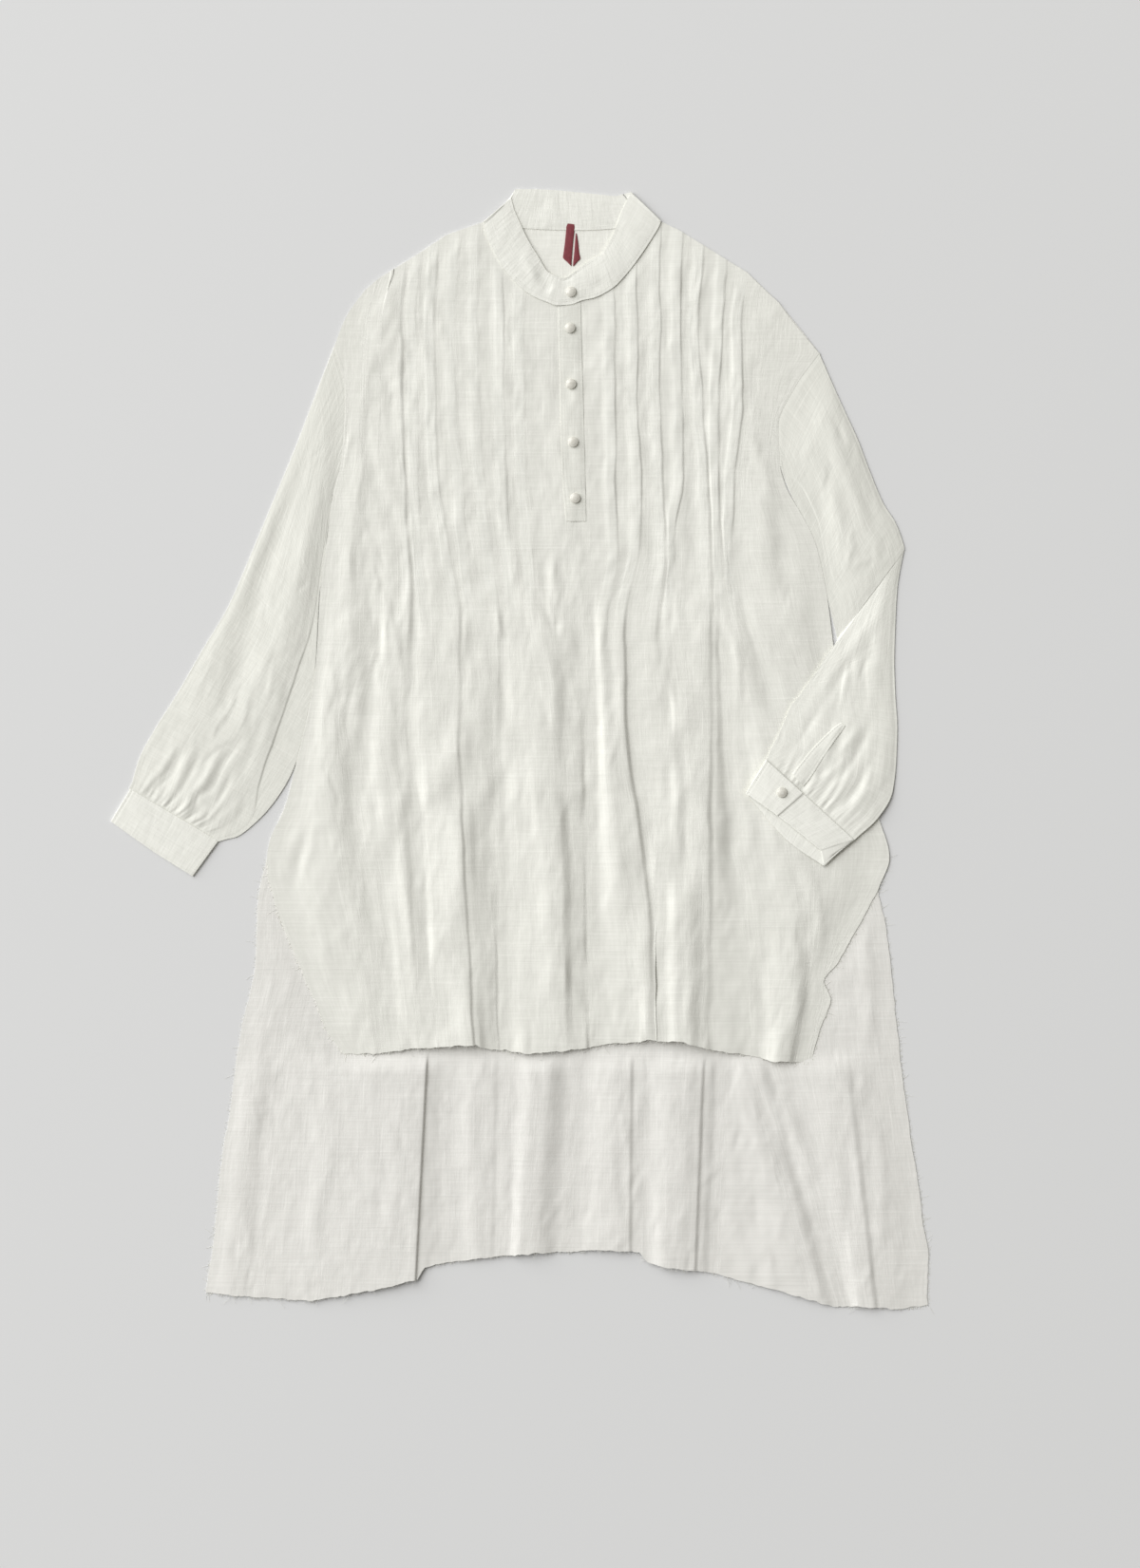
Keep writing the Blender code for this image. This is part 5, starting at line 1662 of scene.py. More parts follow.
@dataclass(kw_only=True)
class Back(Panel):
    """The back panel: it lies on the table and shows below the front and inside the neck."""

    name: str = "back_cloth"
    node: str = "back"
    rests_on: tuple[str, ...] = ("floor",)
    flat: tuple[float, float] = (0.75, 1.11)
    area: float = 0.62
    wall: float = 0.5
    base: float = BACK_TOP
    top_edge: Outline = (*SHOULDER_LEFT, NECK_LEFT, *BACK_NECK, NECK_RIGHT, *SHOULDER_RIGHT)
    left: Outline = (*ARMHOLE_LEFT, *SIDE_LEFT, *BACK_SLIT_LEFT)
    right: Outline = (*ARMHOLE_RIGHT, *SIDE_RIGHT, *BACK_SLIT_RIGHT)
    hem: Outline = tuple(BACK_HEM)
    lift: float = 0.5
    crumple_rise: float = 0.8
    soft_reach: float = 6.0
    fold_fade: float = 24.0
    neck_from: float = 430.0
    side_fade: float = 34.0
    gaps_read: tuple[float, ...] = (-500.0,)

    def fold_line(self, fold: BackFold) -> Line:
        """Makes the line of one fold.

        Args:
            fold: Its sizes.

        Returns:
            The line.
        """
        slant = (fold.x2 - fold.x1) / (BACK_FOLD_HEM - BACK_FOLD_TOP)
        edges = [float(down_line(points, BACK_FOLD_TOP)) for points in (self.left, self.right)]
        share = (fold.x1 - edges[0]) / (edges[1] - edges[0])

        def place(y: np.ndarray) -> np.ndarray:
            """Returns the line's x."""
            above = blend(down_line(self.left, y), down_line(self.right, y), share)
            return np.where(y > BACK_FOLD_TOP, above, fold.x1 + slant * (y - BACK_FOLD_TOP))

        def level(y: np.ndarray, height: float) -> np.ndarray:
            """Returns how high the cloth stands on one side."""
            return height * ease((BACK_FOLD_TOP - y) / self.fold_fade)

        return Line(place, lambda y: level(y, fold.left), lambda y: level(y, fold.right),
                    lambda y: np.full_like(y, fold.crisp),
                    lambda y: np.full_like(y, blend(self.soft_reach, EDGE_REACH, fold.crisp)))

    def gap_column(self, gap: int, one: Line, two: Line, t: float) -> Column:
        """Returns the column that stands t of the way between two fold lines, in any gap."""
        return Column(self.between(one, two, t), lambda y: drape(one, two, t, y), np.zeros_like)

    def showing(self, x: np.ndarray, y: np.ndarray) -> np.ndarray:
        """Works out how freely the panel can rise.

        Args:
            x: Places across.
            y: Places along.

        Returns:
            0 under the front to 1 where nothing lies on it.
        """
        below = edge_height(FRONT_HEM, x) - y
        aside = np.maximum(down_line(FRONT_SLIT_LEFT, y) - x, x - down_line(FRONT_SLIT_RIGHT, y))
        beside = np.where(y < -105.0, aside, -1.0)
        return ease(np.maximum(below - 3.0, beside - 3.0) / 14.0)

    def build(self, material: bpy.types.Material) -> bpy.types.Object:
        """Makes the piece.

        Args:
            material: Its finish.

        Returns:
            The dressed piece.
        """
        columns = self.columns([self.fold_line(fold) for fold in BACK_FOLDS], np.array(self.gaps_read),
                               self.gap_column, lambda number: lambda y, side: np.zeros_like(y))
        shares = np.concatenate([np.linspace(0.0, 0.09, 20), np.linspace(0.1, 0.56, 24),
                                 np.linspace(0.57, 0.74, 25), np.linspace(0.7435, 0.9955, 80),
                                 [0.9975, 0.999, 1.0]])
        points, weave, cover = self.grid(columns, shares)
        x, y = points[..., 0], points[..., 1]
        free = self.showing(x, y)
        small = small_creases((-310, -560, 405, -120), 190, (2.0, 22.0), 0.4, 27)
        rise = self.lift + crease_heights(x, y, BACK_CREASES + small) + self.crumple_rise * crumple(x, y, 71)
        edge = from_sides(x)
        points[..., 2] += rise * free * ease((edge - 0.5) / self.side_fade)
        points[..., 2] = soft_floor(points[..., 2], self.base - 0.04, 0.1)
        points[..., 2] -= 0.1 * (1.0 - ease(edge / 1.5))
        raw_edge(points, 91)
        cover = np.maximum(cover, ease((y - self.neck_from) / 10.0))
        return self.finish(points, weave, cover, material)


# A sleeve's fold edge keeps this far from the far side, and its own columns reach this far either way
LAP_CLEAR = 4.6
LAP_HALF = 2.2


def upper_shares(width: np.ndarray, lap: np.ndarray, plain: int, past: int,
                 crisp: float) -> tuple[np.ndarray, np.ndarray, np.ndarray]:
    """Spreads the columns of a flattened tube's upper layer, with a fold edge across it.

    Args:
        width: The tube's width at each row, in millimetres.
        lap: The share of the width at which the fold edge lies.
        plain: How many columns stand before it.
        past: How many after it.
        crisp: How sharp the edge is.

    Returns:
        How far over each column stands, in millimetres, rows by columns, how far it is down the edge, 0
        before it to 1 past it, and where the edge lies.
    """
    line = np.minimum(lap * width, width - LAP_CLEAR)
    before = np.concatenate([[0.0, 0.0008, 0.0022, 0.005, 0.012, 0.021], np.linspace(0.032, 1.0, plain)])
    after = np.concatenate([np.linspace(0.0, 0.92, past), [0.96, 0.98, 0.992, 1.0]])
    over = blend(np.array(SOFT_OVER) * EDGE_REACH, np.array(EDGE_OVER), crisp)
    start, end = line - LAP_HALF, line + LAP_HALF
    spread = [np.outer(start, before), line[:, None] + over[None, :],
              end[:, None] + np.outer(width - end, after)]
    down = np.concatenate([np.zeros(len(before)), EDGE_DROP, np.ones(len(after))])
    return np.concatenate(spread, axis=1), down[None, :], line[:, None]


def edge_roundness(over: np.ndarray, width: np.ndarray, reach: float,
                   far: float | None = None) -> np.ndarray:
    """Returns 0 at the edges of a flattened tube, rising in a quarter circle to 1.

    Args:
        over: How far over the places are, in millimetres.
        width: The tube's width at each row.
        reach: How far in the edge's roundness goes.
        far: The same at the far edge, where it differs.

    Returns:
        The share of the full height.
    """
    near = np.clip(np.minimum(over / reach, (width[:, None] - over) / (far or reach)), 0.0, 1.0)
    return np.sqrt(1.0 - (1.0 - near) ** 2)


def gathered(f: np.ndarray, down: np.ndarray, seed: int) -> np.ndarray:
    """Works out the gathers that spread from a cuff's seam.

    Args:
        f: The share of the width, 0 to 1.
        down: The distance up from the seam, in millimetres.
        seed: Which of the patterns.

    Returns:
        Heights to add, in millimetres.
    """
    chance = np.random.default_rng(seed)
    total = np.zeros_like(f)
    folds = 13
    for k in range(folds):
        centre = (k + 0.5 + chance.uniform(-0.35, 0.35)) / folds
        wide = chance.uniform(0.018, 0.034)
        long = chance.uniform(20.0, 62.0)
        tall = chance.uniform(0.7, 1.7)
        lean = chance.uniform(-0.0016, 0.0016)
        off = (f - centre - lean * down) / (wide * (1.0 + down / 90.0))
        total += tall * bell(off, 1.0) * bell(down, long)
    total -= 0.7 * bell(down, 42.0)
    pucker = np.cos(math.tau * (25.0 * f + 0.35 * ripple(f * 9.0, down * 0.0, 1.0, 1.0, seed + 1)))
    deep = 0.65 + 0.35 * ripple(f * 17.0, down * 0.0, 1.0, 1.0, seed + 2)
    return total + 0.42 * deep * pucker * bell(down, 11.0)


@dataclass(kw_only=True)
class Sleeve(Cut):
    """A flattened sleeve: a tube of one layer of linen, from the armhole to the cuff."""

    slot: Slot = Slot.LINEN
    flat: tuple[float, float] = (0.28, 0.48)
    wall: float = 0.38
    sections: list[Section]
    on_table: int
    outward: int
    armhole: list[Point]
    body_side: Outline
    creases: list[Crease]
    seed: int
    spread: tuple[float, float, float, float]
    tilt: float
    swell: float
    lean: float
    rows: int = 206
    plain: int = 78
    past: int = 15
    under: int = 18
    crisp: float = 1.0
    edge_round: float = 0.8
    edge_fade: float = 5.0
    arm_lean: float = 0.3
    arm_flat: float = 0.4
    gather_rise: float = 0.82
    lap_low: float = 0.45
    lap_fade: float = 38.0
    armhole_fade: float = 36.0
    side_gap: float = 0.05
    tuck_in: float = 0.9
    drapes: float = 3.5
    drape_turn: float = 0.35
    drape_depth: float = 0.3
    crumple_rise: float = 0.5
    cuff_tuck: float = 2.6
    cuff_calm: float = 70.0
    cuff_fade: float = 5.5
    cuff_high: float = 1.5
    cuff_low: float = 0.9
    armhole_high: float = 1.0
    seam_width: float = 2.2
    sink: float = 0.5
    under_low: float = 0.02
    rest: np.ndarray | None = None

    def spots(self) -> np.ndarray:
        """Spreads the rows along the sleeve.

        Returns:
            Their places, in sections.
        """
        last = len(self.sections) - 1
        cuff = last - 1.5
        return np.concatenate([[0.0, 0.022, 0.05], np.linspace(0.09, cuff - 0.04, self.rows - 50),
                               np.linspace(cuff, last, 47)])

    def read(self, spots: np.ndarray) -> dict[str, np.ndarray]:
        """Reads the sections smoothly.

        Args:
            spots: Places along the sleeve, in sections.

        Returns:
            The outer and inner ends and the lap, loft and wave at each place.
        """
        knots = np.arange(len(self.sections))
        ends = {name: smooth_through(knots, [getattr(s, name) for s in self.sections], spots)
                for name in ("lap", "loft", "wave")}
        for name in ("outer", "inner"):
            ends[name] = np.stack([smooth_through(knots, [getattr(s, name)[k] for s in self.sections], spots)
                                   for k in (0, 1)], axis=1)
        beside = down_line(self.body_side, ends["inner"][:, 1]) + self.outward * self.side_gap
        held = np.where(spots < self.on_table - 0.4, 1.0, 0.0)
        kept = np.maximum(ends["inner"][:, 0] * self.outward, beside * self.outward) * self.outward
        ends["inner"][:, 0] = blend(ends["inner"][:, 0], kept, held)
        return ends

    def arm(self, spots: np.ndarray) -> np.ndarray:
        """Returns how far the places are on the forearm that lies on the front, 0 to 1."""
        return ease(spots - (self.on_table - 1))[:, None]

    def lay_on(self, lay: Lay) -> None:
        """Finds how high the forearm lies.

        Args:
            lay: The pieces below it.
        """
        tall = np.linspace(0.0, len(self.sections) - 1, 36)
        ends = self.read(tall)
        places = ruled(ends["outer"], ends["inner"], np.linspace(0.0, 1.0, 9))
        self.rest = lay.rest_grid(places) * self.arm(tall)

    def upper(self, spots: np.ndarray, x: np.ndarray, y: np.ndarray, over: np.ndarray, width: np.ndarray,
              edge: tuple[np.ndarray, np.ndarray], down: np.ndarray) -> np.ndarray:
        """Works out how high the upper layer stands.

        Args:
            spots: Where the rows stand, in sections.
            x: The points' places.
            y: The same.
            over: How far over the points stand.
            width: The tube's width at each row.
            edge: How far down the fold edge the columns are, and where that edge lies.
            down: How far down the sleeve each row is, in millimetres.

        Returns:
            The heights.
        """
        ends = self.read(spots)
        left_over = down[-1] - down
        f = over / width[:, None]
        rounded = 1.0 - np.abs(2.0 * f - 1.0) ** 2.4
        turn = math.tau * self.drapes * f + self.drape_turn * spots[:, None]
        near_cuff = bell(left_over, self.cuff_calm)
        drape = self.drape_depth * ends["wave"][:, None] * np.sin(turn) * (1.0 - 0.7 * near_cuff)
        arm = self.arm(spots)
        leaning = 1.0 + (self.lean + self.arm_lean * arm) * (1.0 - 2.0 * f)
        loft = ends["loft"][:, None] * self.swell * (1.0 - self.arm_flat * arm)
        puff = np.maximum(loft * leaning + drape, 0.2)
        gathers = gathered(f, left_over, self.seed)
        puff = puff + self.gather_rise * gathers * np.clip(left_over / 2.5, 0.0, 1.0)
        small = small_creases(self.spread, 70, (self.tilt, 16.0), 0.5, self.seed + 3)
        puff = puff + crease_heights(x, y, self.creases + small)
        relief = puff * rounded * (1.0 - edge[0])
        relief *= blend(self.lap_low, 1.0, ease((edge[1] - over) / self.lap_fade))
        relief += self.crumple_rise * crumple(x, y, self.seed + 7) * np.clip(rounded, 0.0, 1.0)
        relief *= blend(0.12, 1.0, ease(down / self.armhole_fade))
        seat = edge_roundness(over, width, self.edge_round)
        inward = ease(np.minimum(over, width[:, None] - over) / self.edge_fade)
        upper = SLEEVE_FLAT * (0.93 + 0.07 * seat) + soft_floor(relief, -self.sink, 0.3) * inward
        return blend(self.armhole_high, upper, blend(ease(down / self.seam_width), 1.0, (1.0 - seat) * 0.3))

    def loop(self) -> tuple[np.ndarray, np.ndarray]:
        """Lays out the tube's loops.

        Returns:
            The points, rows running from the armhole to the cuff, and the weave's coordinates.
        """
        spots = self.spots()
        ends = self.read(spots)
        width = np.hypot(*(ends["inner"] - ends["outer"]).T)
        middle = (ends["inner"] + ends["outer"]) / 2
        down = way_along(middle)[:, None]
        left_over = down[-1] - down
        over, *edge = upper_shares(width, ends["lap"] / 100.0, self.plain, self.past, self.crisp)
        flat = ruled(ends["outer"], ends["inner"], over / width[:, None])
        at_cuff = ease(left_over / self.cuff_fade)
        upper = self.upper(spots, flat[..., 0], flat[..., 1], over, width, edge, down)
        upper = blend(self.cuff_high, upper, at_cuff)
        shares = np.concatenate([[0.7, 2.0], np.linspace(5.0, 95.0, self.under), [98.0, 99.3]])[::-1] / 100
        low_over = shares[None, :] * width[:, None]
        low_seat = edge_roundness(low_over, width, self.edge_round)
        lower = SLEEVE_FLAT * 0.5 * (1.0 - low_seat) + self.under_low
        lower = blend(self.cuff_low, lower, at_cuff)
        every = np.concatenate([over, low_over, over[:, :1]], axis=1)
        shares = every / width[:, None]
        high = np.concatenate([upper, lower, upper[:, :1]], axis=1)
        if self.rest is not None:
            columns = np.linspace(0, 1, 41)
            base = finer(self.rest, spots / spots[-1], columns)
            high += np.stack([np.interp(share, columns, row) for share, row in zip(shares, base)])
        points = np.concatenate([ruled(ends["outer"], ends["inner"], shares), high[..., None]], axis=2)
        self.reach_armhole(points, spots, over.shape[1])
        along = middle[-1] - middle[-6]
        along /= np.hypot(*along)
        points[..., :2] += along * (self.cuff_tuck * ease(1.0 - left_over / 7.0))[..., None]
        return points, np.stack([every, np.broadcast_to(down, every.shape)], axis=-1)

    def reach_armhole(self, points: np.ndarray, spots: np.ndarray, upper: int) -> None:
        """Draws the first loops to the armhole: the upper layer in under the front's edge.

        Args:
            points: The loops. They are changed.
            spots: Where they stand, in sections.
            upper: How many columns the upper layer has.
        """
        start = points[0].copy()
        shift = down_line(self.armhole, start[:, 1]) - start[:, 0]
        aside = np.full(len(start), 0.9 * self.outward)
        aside[2:upper - 2] = -self.tuck_in * self.outward
        fade = np.clip(1.0 - spots, 0.0, 1.0)[:, None]
        points[..., 0] += shift[None, :] * fade + aside[None, :] * ease(1.0 - spots / 0.05)[:, None]

    def build(self, material: bpy.types.Material) -> bpy.types.Object:
        """Makes the piece.

        Args:
            material: Its finish.

        Returns:
            The dressed piece.
        """
        points, weave = self.loop()
        doubled = blend(0.1, 0.9, self.arm(self.spots()))
        return self.finish(points, weave, np.tile(doubled, (1, points.shape[1])), material, tube=True)


@dataclass(kw_only=True)
class Cuff(Cut):
    """A flattened cuff of doubled linen."""

    slot: Slot = Slot.BAND
    area: float = 0.0087
    wall: float = 0.8
    seam: list[Point]
    open_upper: list[Point]
    open_lower: list[Point]
    overlap: float
    seed: int
    lap: float = CUFF_OVERLAP
    rows: int = 30
    plain: int = 34
    past: int = 40
    under: int = 24
    crown: float = 0.5
    edge_round: float = 0.9
    far_round: float = 0.9
    far_lift: float = 0.0
    cover: float = 0.5
    stitch_in: float = 2.4
    stitch_dip: float = 0.28
    stitch_half: float = 0.8
    under_low: float = 0.02
    lay: Lay | None = None

    def loop(self) -> tuple[np.ndarray, np.ndarray]:
        """Lays out the cuff's loops.

        Returns:
            The points, rows running from the seam to the open side, and the weave's coordinates.
        """
        inner = np.linspace(0.07, 0.93, self.rows - 6)
        steps = np.concatenate([[0.0, 0.012, 0.035], inner, [0.965, 0.988, 1.0]])
        reads = np.linspace(0.0, 1.0, 61)
        seam, *edges = [along_points(line, reads) for line in (self.seam, self.open_upper, self.open_lower)]
        width = np.full(len(steps), np.hypot(*(seam[-1] - seam[0])))
        over, down, _ = upper_shares(width, np.full(len(steps), self.lap), self.plain, self.past,
                                     1.0 if self.overlap else 0.0)
        f = over / width[:, None]
        under = np.concatenate([[0.007, 0.02], np.linspace(0.05, 0.95, self.under), [0.98, 0.993]])[::-1]
        facet = np.array([0.06, 0.5, 0.94]) if self.far_lift else np.zeros(0)
        unders = np.tile(under, (len(steps), 1))
        shares = np.concatenate([f, np.ones((len(steps), len(facet))), unders, f[:, :1]], axis=1)
        layer = np.concatenate([np.zeros(f.shape[1]), facet, np.ones(len(under)), [0.0]])
        points = np.empty((*shares.shape, 3))
        for k in (0, 1):
            high, low = [np.interp(shares, reads, edge[:, k]) for edge in edges]
            points[..., k] = blend(np.interp(shares, reads, seam[:, k]), blend(high, low, layer[None, :]),
                                   steps[:, None])
        deep = float(np.hypot(*(edges[0][30] - seam[30])))
        seat = edge_roundness(over, width, self.edge_round, self.far_round)
        upper = CUFF_FLAT * (0.92 + 0.08 * seat) + self.crown * (1.0 - (2 * f - 1) ** 4) * seat
        upper += self.overlap * (1.0 - down)
        x, y = points[:, :f.shape[1], 0], points[:, :f.shape[1], 1]
        from_end = np.minimum(steps, 1.0 - steps)[:, None] * deep
        upper -= self.stitch_dip * bell(from_end - self.stitch_in, self.stitch_half)
        upper -= self.stitch_dip * bell(over - self.stitch_in, self.stitch_half) * seat
        upper += 0.4 * crumple(x, y, self.seed) * seat
        upper -= 0.5 * (1.0 - np.clip(from_end / 1.2, 0.0, 1.0)) ** 2
        low_seat = edge_roundness(unders * width[0], width, self.edge_round, self.far_round)
        lower = CUFF_FLAT * 0.5 * (1.0 - low_seat) + self.under_low
        lower = lower + self.far_lift * np.outer(ease(steps / 0.12), ease((under - 0.9) / 0.09))
        bridge = blend(upper[:, -1:], lower[:, :1], facet[None, :])
        points[..., 2] = np.concatenate([upper, bridge, lower, upper[:, :1]], axis=1)
        if self.lay is not None:
            points[..., 2] += self.rest(points, reads, steps)
        weave = np.stack([shares * width[0], np.tile(steps[:, None] * deep, (1, shares.shape[1]))], axis=-1)
        return points, weave

    def rest(self, points: np.ndarray, reads: np.ndarray, steps: np.ndarray) -> np.ndarray:
        """Finds how high the cuff lies on what is under it.

        Args:
            points: Its loops.
            reads: Shares of its width.
            steps: Where its loops stand, from seam to open side.

        Returns:
            Heights to add.
        """
        seam, edge = [along_points(line, np.linspace(0.0, 1.0, 9)) for line in (self.seam, self.open_lower)]
        places = ruled(seam, edge, np.linspace(0.0, 1.0, 5)).swapaxes(0, 1)
        fine = finer(self.lay.rest_grid(places), steps, reads)
        run = seam[-1] - seam[0]
        across = np.clip((points[..., :2] - seam[0]) @ run / (run @ run), 0.0, 1.0)
        return np.stack([np.interp(share, reads, row) for share, row in zip(across, fine)])

    def build(self, material: bpy.types.Material) -> bpy.types.Object:
        """Makes the piece."""
        points, weave = self.loop()
        return self.finish(points, weave, np.full(points.shape[:2], self.cover), material, tube=True)


@dataclass(kw_only=True)
class Collar(Cut):
    """The band collar: its front half stands over its back half, folded at the two shoulders."""

    name: str = "collar_band"
    node: str = "collar"
    slot: Slot = Slot.BAND
    rests_on: tuple[str, ...] = ("front_cloth",)
    flat: tuple[float, float] = (0.43, 0.035)
    area: float = 0.0145
    wall: float = 0.9
    around: int = 230
    across: int = 16
    over_seam: float = 1.3
    stitch_in: float = 2.2
    cover: float = 0.35

    def bands(self) -> list[Band]:
        """Lists the collar's places in order.

        Returns:
            The places, at the tube's outer face.
        """
        neck = [NECK_LEFT] + BACK_NECK + [NECK_RIGHT]
        found = [COLLAR_TIP_LEFT, *COLLAR_FRONT, COLLAR_TIP_RIGHT]
        for band in COLLAR_BACK:
            seam = (band.seam[0], float(edge_height(neck, band.seam[0])) + 0.8)
            found.append(Band(seam, band.edge, band.seam_z - self.wall, band.edge_z - self.wall))
        return found + found[:1]

    def build(self, material: bpy.types.Material) -> bpy.types.Object:
        """Makes the piece.

        Args:
            material: Its finish.

        Returns:
            The dressed piece.
        """
        bands = self.bands()
        seam = np.array([band.seam for band in bands], float)
        edge = np.array([band.edge for band in bands], float)
        steps = np.hypot(*np.diff(seam, axis=0).T) + np.hypot(*np.diff(edge, axis=0).T)
        knots = np.concatenate([[0.0], np.cumsum(np.maximum(steps, 2.0))])
        ends = np.array([0.0, knots[len(COLLAR_FRONT) + 1], knots[-1]])
        turns = ends[:, None] + np.array([-1.4, -0.4, 0.4, 1.4])
        turns = turns[(turns > 0.0) & (turns < knots[-1])]
        at = np.sort(np.concatenate([np.linspace(0.0, knots[-1], self.around), knots[1:-1], turns]))
        seam, edge = [np.stack([smooth_through(knots, table[:, k], at) for k in (0, 1)], axis=1)
                      for table in (seam, edge)]
        low = smooth_through(knots, [band.seam_z for band in bands], at)
        high = smooth_through(knots, [band.edge_z for band in bands], at)
        inner = np.linspace(0.14, 0.86, self.across - 6)
        share = np.concatenate([[0.0, 0.03, 0.08], inner, [0.92, 0.97, 1.0]])
        tall = np.hypot(*(edge - seam).T)
        points = np.empty((len(share), len(at), 3))
        out = (seam - edge) / tall[:, None]
        points[..., :2] = ruled(seam, edge, share).swapaxes(0, 1)
        points[..., :2] += out[None] * self.over_seam * (1.0 - share[:, None, None])
        points[..., 2] = blend(low[None], high[None], share[:, None])
        x, y = points[..., 0], points[..., 1]
        from_edge = np.minimum(share, 1.0 - share)[:, None] * tall[None]
        relief = 0.6 * crumple(x, y, 131) + crease_heights(x, y, COLLAR_CREASES)
        relief += 0.45 * np.sin(math.pi * share)[:, None]
        relief -= 0.25 * bell(from_edge - self.stitch_in, 0.8)
        points[..., 2] += relief * ease(from_edge / 2.5)
        weave = np.stack([np.tile(at, (len(share), 1)), share[:, None] * tall[None]], axis=-1)
        cover = np.full(points.shape[:2], self.cover)
        return self.finish(points[::-1], weave[::-1], cover, material, tube=True)


@dataclass(kw_only=True)
class Strip(Cut):
    """A narrow strip that lies on other cloth and follows it."""

    slot: Slot = Slot.BAND
    wall: float = 0.4
    rows: list[Row]
    gap: float = 0.05
    length: int = 90
    width: int = 15
    reach: float = 1.5
    crown: float = 0.15
    stitch_in: float = 1.8
    stitch_dip: float = 0.22
    crumple_rise: float = 0.2
    cover: float = 1.0
    seed: int = 151

    def build(self, material: bpy.types.Material, lay: Lay) -> bpy.types.Object:
        """Makes the piece.

        Args:
            material: Its finish.
            lay: What lies under it.

        Returns:
            The dressed piece.
        """
        tall = np.linspace(0.0, 1.0, self.length)
        left, right = [along_points([row[side] for row in self.rows], tall) for side in (0, 1)]
        inner = np.linspace(0.12, 0.88, self.width - 6)
        share = np.concatenate([[0.0, 0.03, 0.075], inner, [0.925, 0.97, 1.0]])
        coarse_tall = np.linspace(0.0, 1.0, max(6, self.length // 4))
        coarse = np.empty((len(coarse_tall), 4))
        for i, t in enumerate(coarse_tall):
            k = int(round(t * (self.length - 1)))
            for j, s in enumerate(np.linspace(0.0, 1.0, 4)):
                coarse[i, j] = lay.around(*(left[k] + (right[k] - left[k]) * s), self.reach, 6)
        high = finer(coarse, tall, share) + self.gap + self.wall
        points = np.concatenate([ruled(left, right, share), high[..., None]], axis=2)
        wide = np.hypot(*(right - left).T)
        from_side = np.minimum(share, 1.0 - share)[None] * wide[:, None]
        relief = self.crown * np.sin(math.pi * share)[None]
        relief = relief + self.crumple_rise * crumple(points[..., 0], points[..., 1], self.seed)
        relief -= self.stitch_dip * bell(from_side - self.stitch_in, 0.7)
        points[..., 2] += relief - 0.2 * (1.0 - np.clip(from_side / 0.8, 0.0, 1.0))
        run = way_along((left + right) / 2)
        weave = np.stack([share[None] * wide[:, None], np.tile(run[:, None], (1, len(share)))], axis=-1)
        return self.finish(points[::-1], weave[::-1], np.full(points.shape[:2], self.cover), material)


@dataclass
class Button:
    """A small domed shell button with a thin rim. Its profile is in shares of radius and height."""

    name: str
    node: str
    centre: Point
    radius: float = 5.1
    height: float = 2.3
    gap: float = 0.3
    sides: int = 40
    profile: Outline = ((0.0, 0.0), (0.62, 0.0), (0.86, 0.06), (0.97, 0.20), (1.0, 0.36), (0.985, 0.50),
                        (0.93, 0.60), (0.86, 0.655), (0.81, 0.665), (0.74, 0.715), (0.60, 0.83),
                        (0.42, 0.93), (0.22, 0.985), (0.0, 1.0))

    def build(self, material: bpy.types.Material, lay: Lay) -> None:
        """Spins the button's profile about its axis.

        Args:
            material: Its finish.
            lay: What lies under it.
        """
        base = lay.around(*self.centre, self.radius) + self.gap
        builder = bmesh.new()
        corners = [builder.verts.new((self.radius * r * METRES, 0.0, self.height * z * METRES))
                   for r, z in self.profile]
        edges = [builder.edges.new(pair) for pair in zip(corners, corners[1:])]
        bmesh.ops.spin(builder, geom=[*corners, *edges], cent=(0, 0, 0), axis=(0, 0, 1), dvec=(0, 0, 0),
                       angle=math.tau, steps=self.sides, use_merge=True, use_duplicate=False)
        bmesh.ops.remove_doubles(builder, verts=builder.verts, dist=1e-6)
        bmesh.ops.recalc_face_normals(builder, faces=builder.faces)
        bmesh.ops.translate(builder, vec=Vector((*self.centre, base)) * METRES, verts=builder.verts)
        mesh = mesh_of(self.name, builder)
        mesh.shade_smooth()
        dress(link(self.name, mesh), self.node, material)


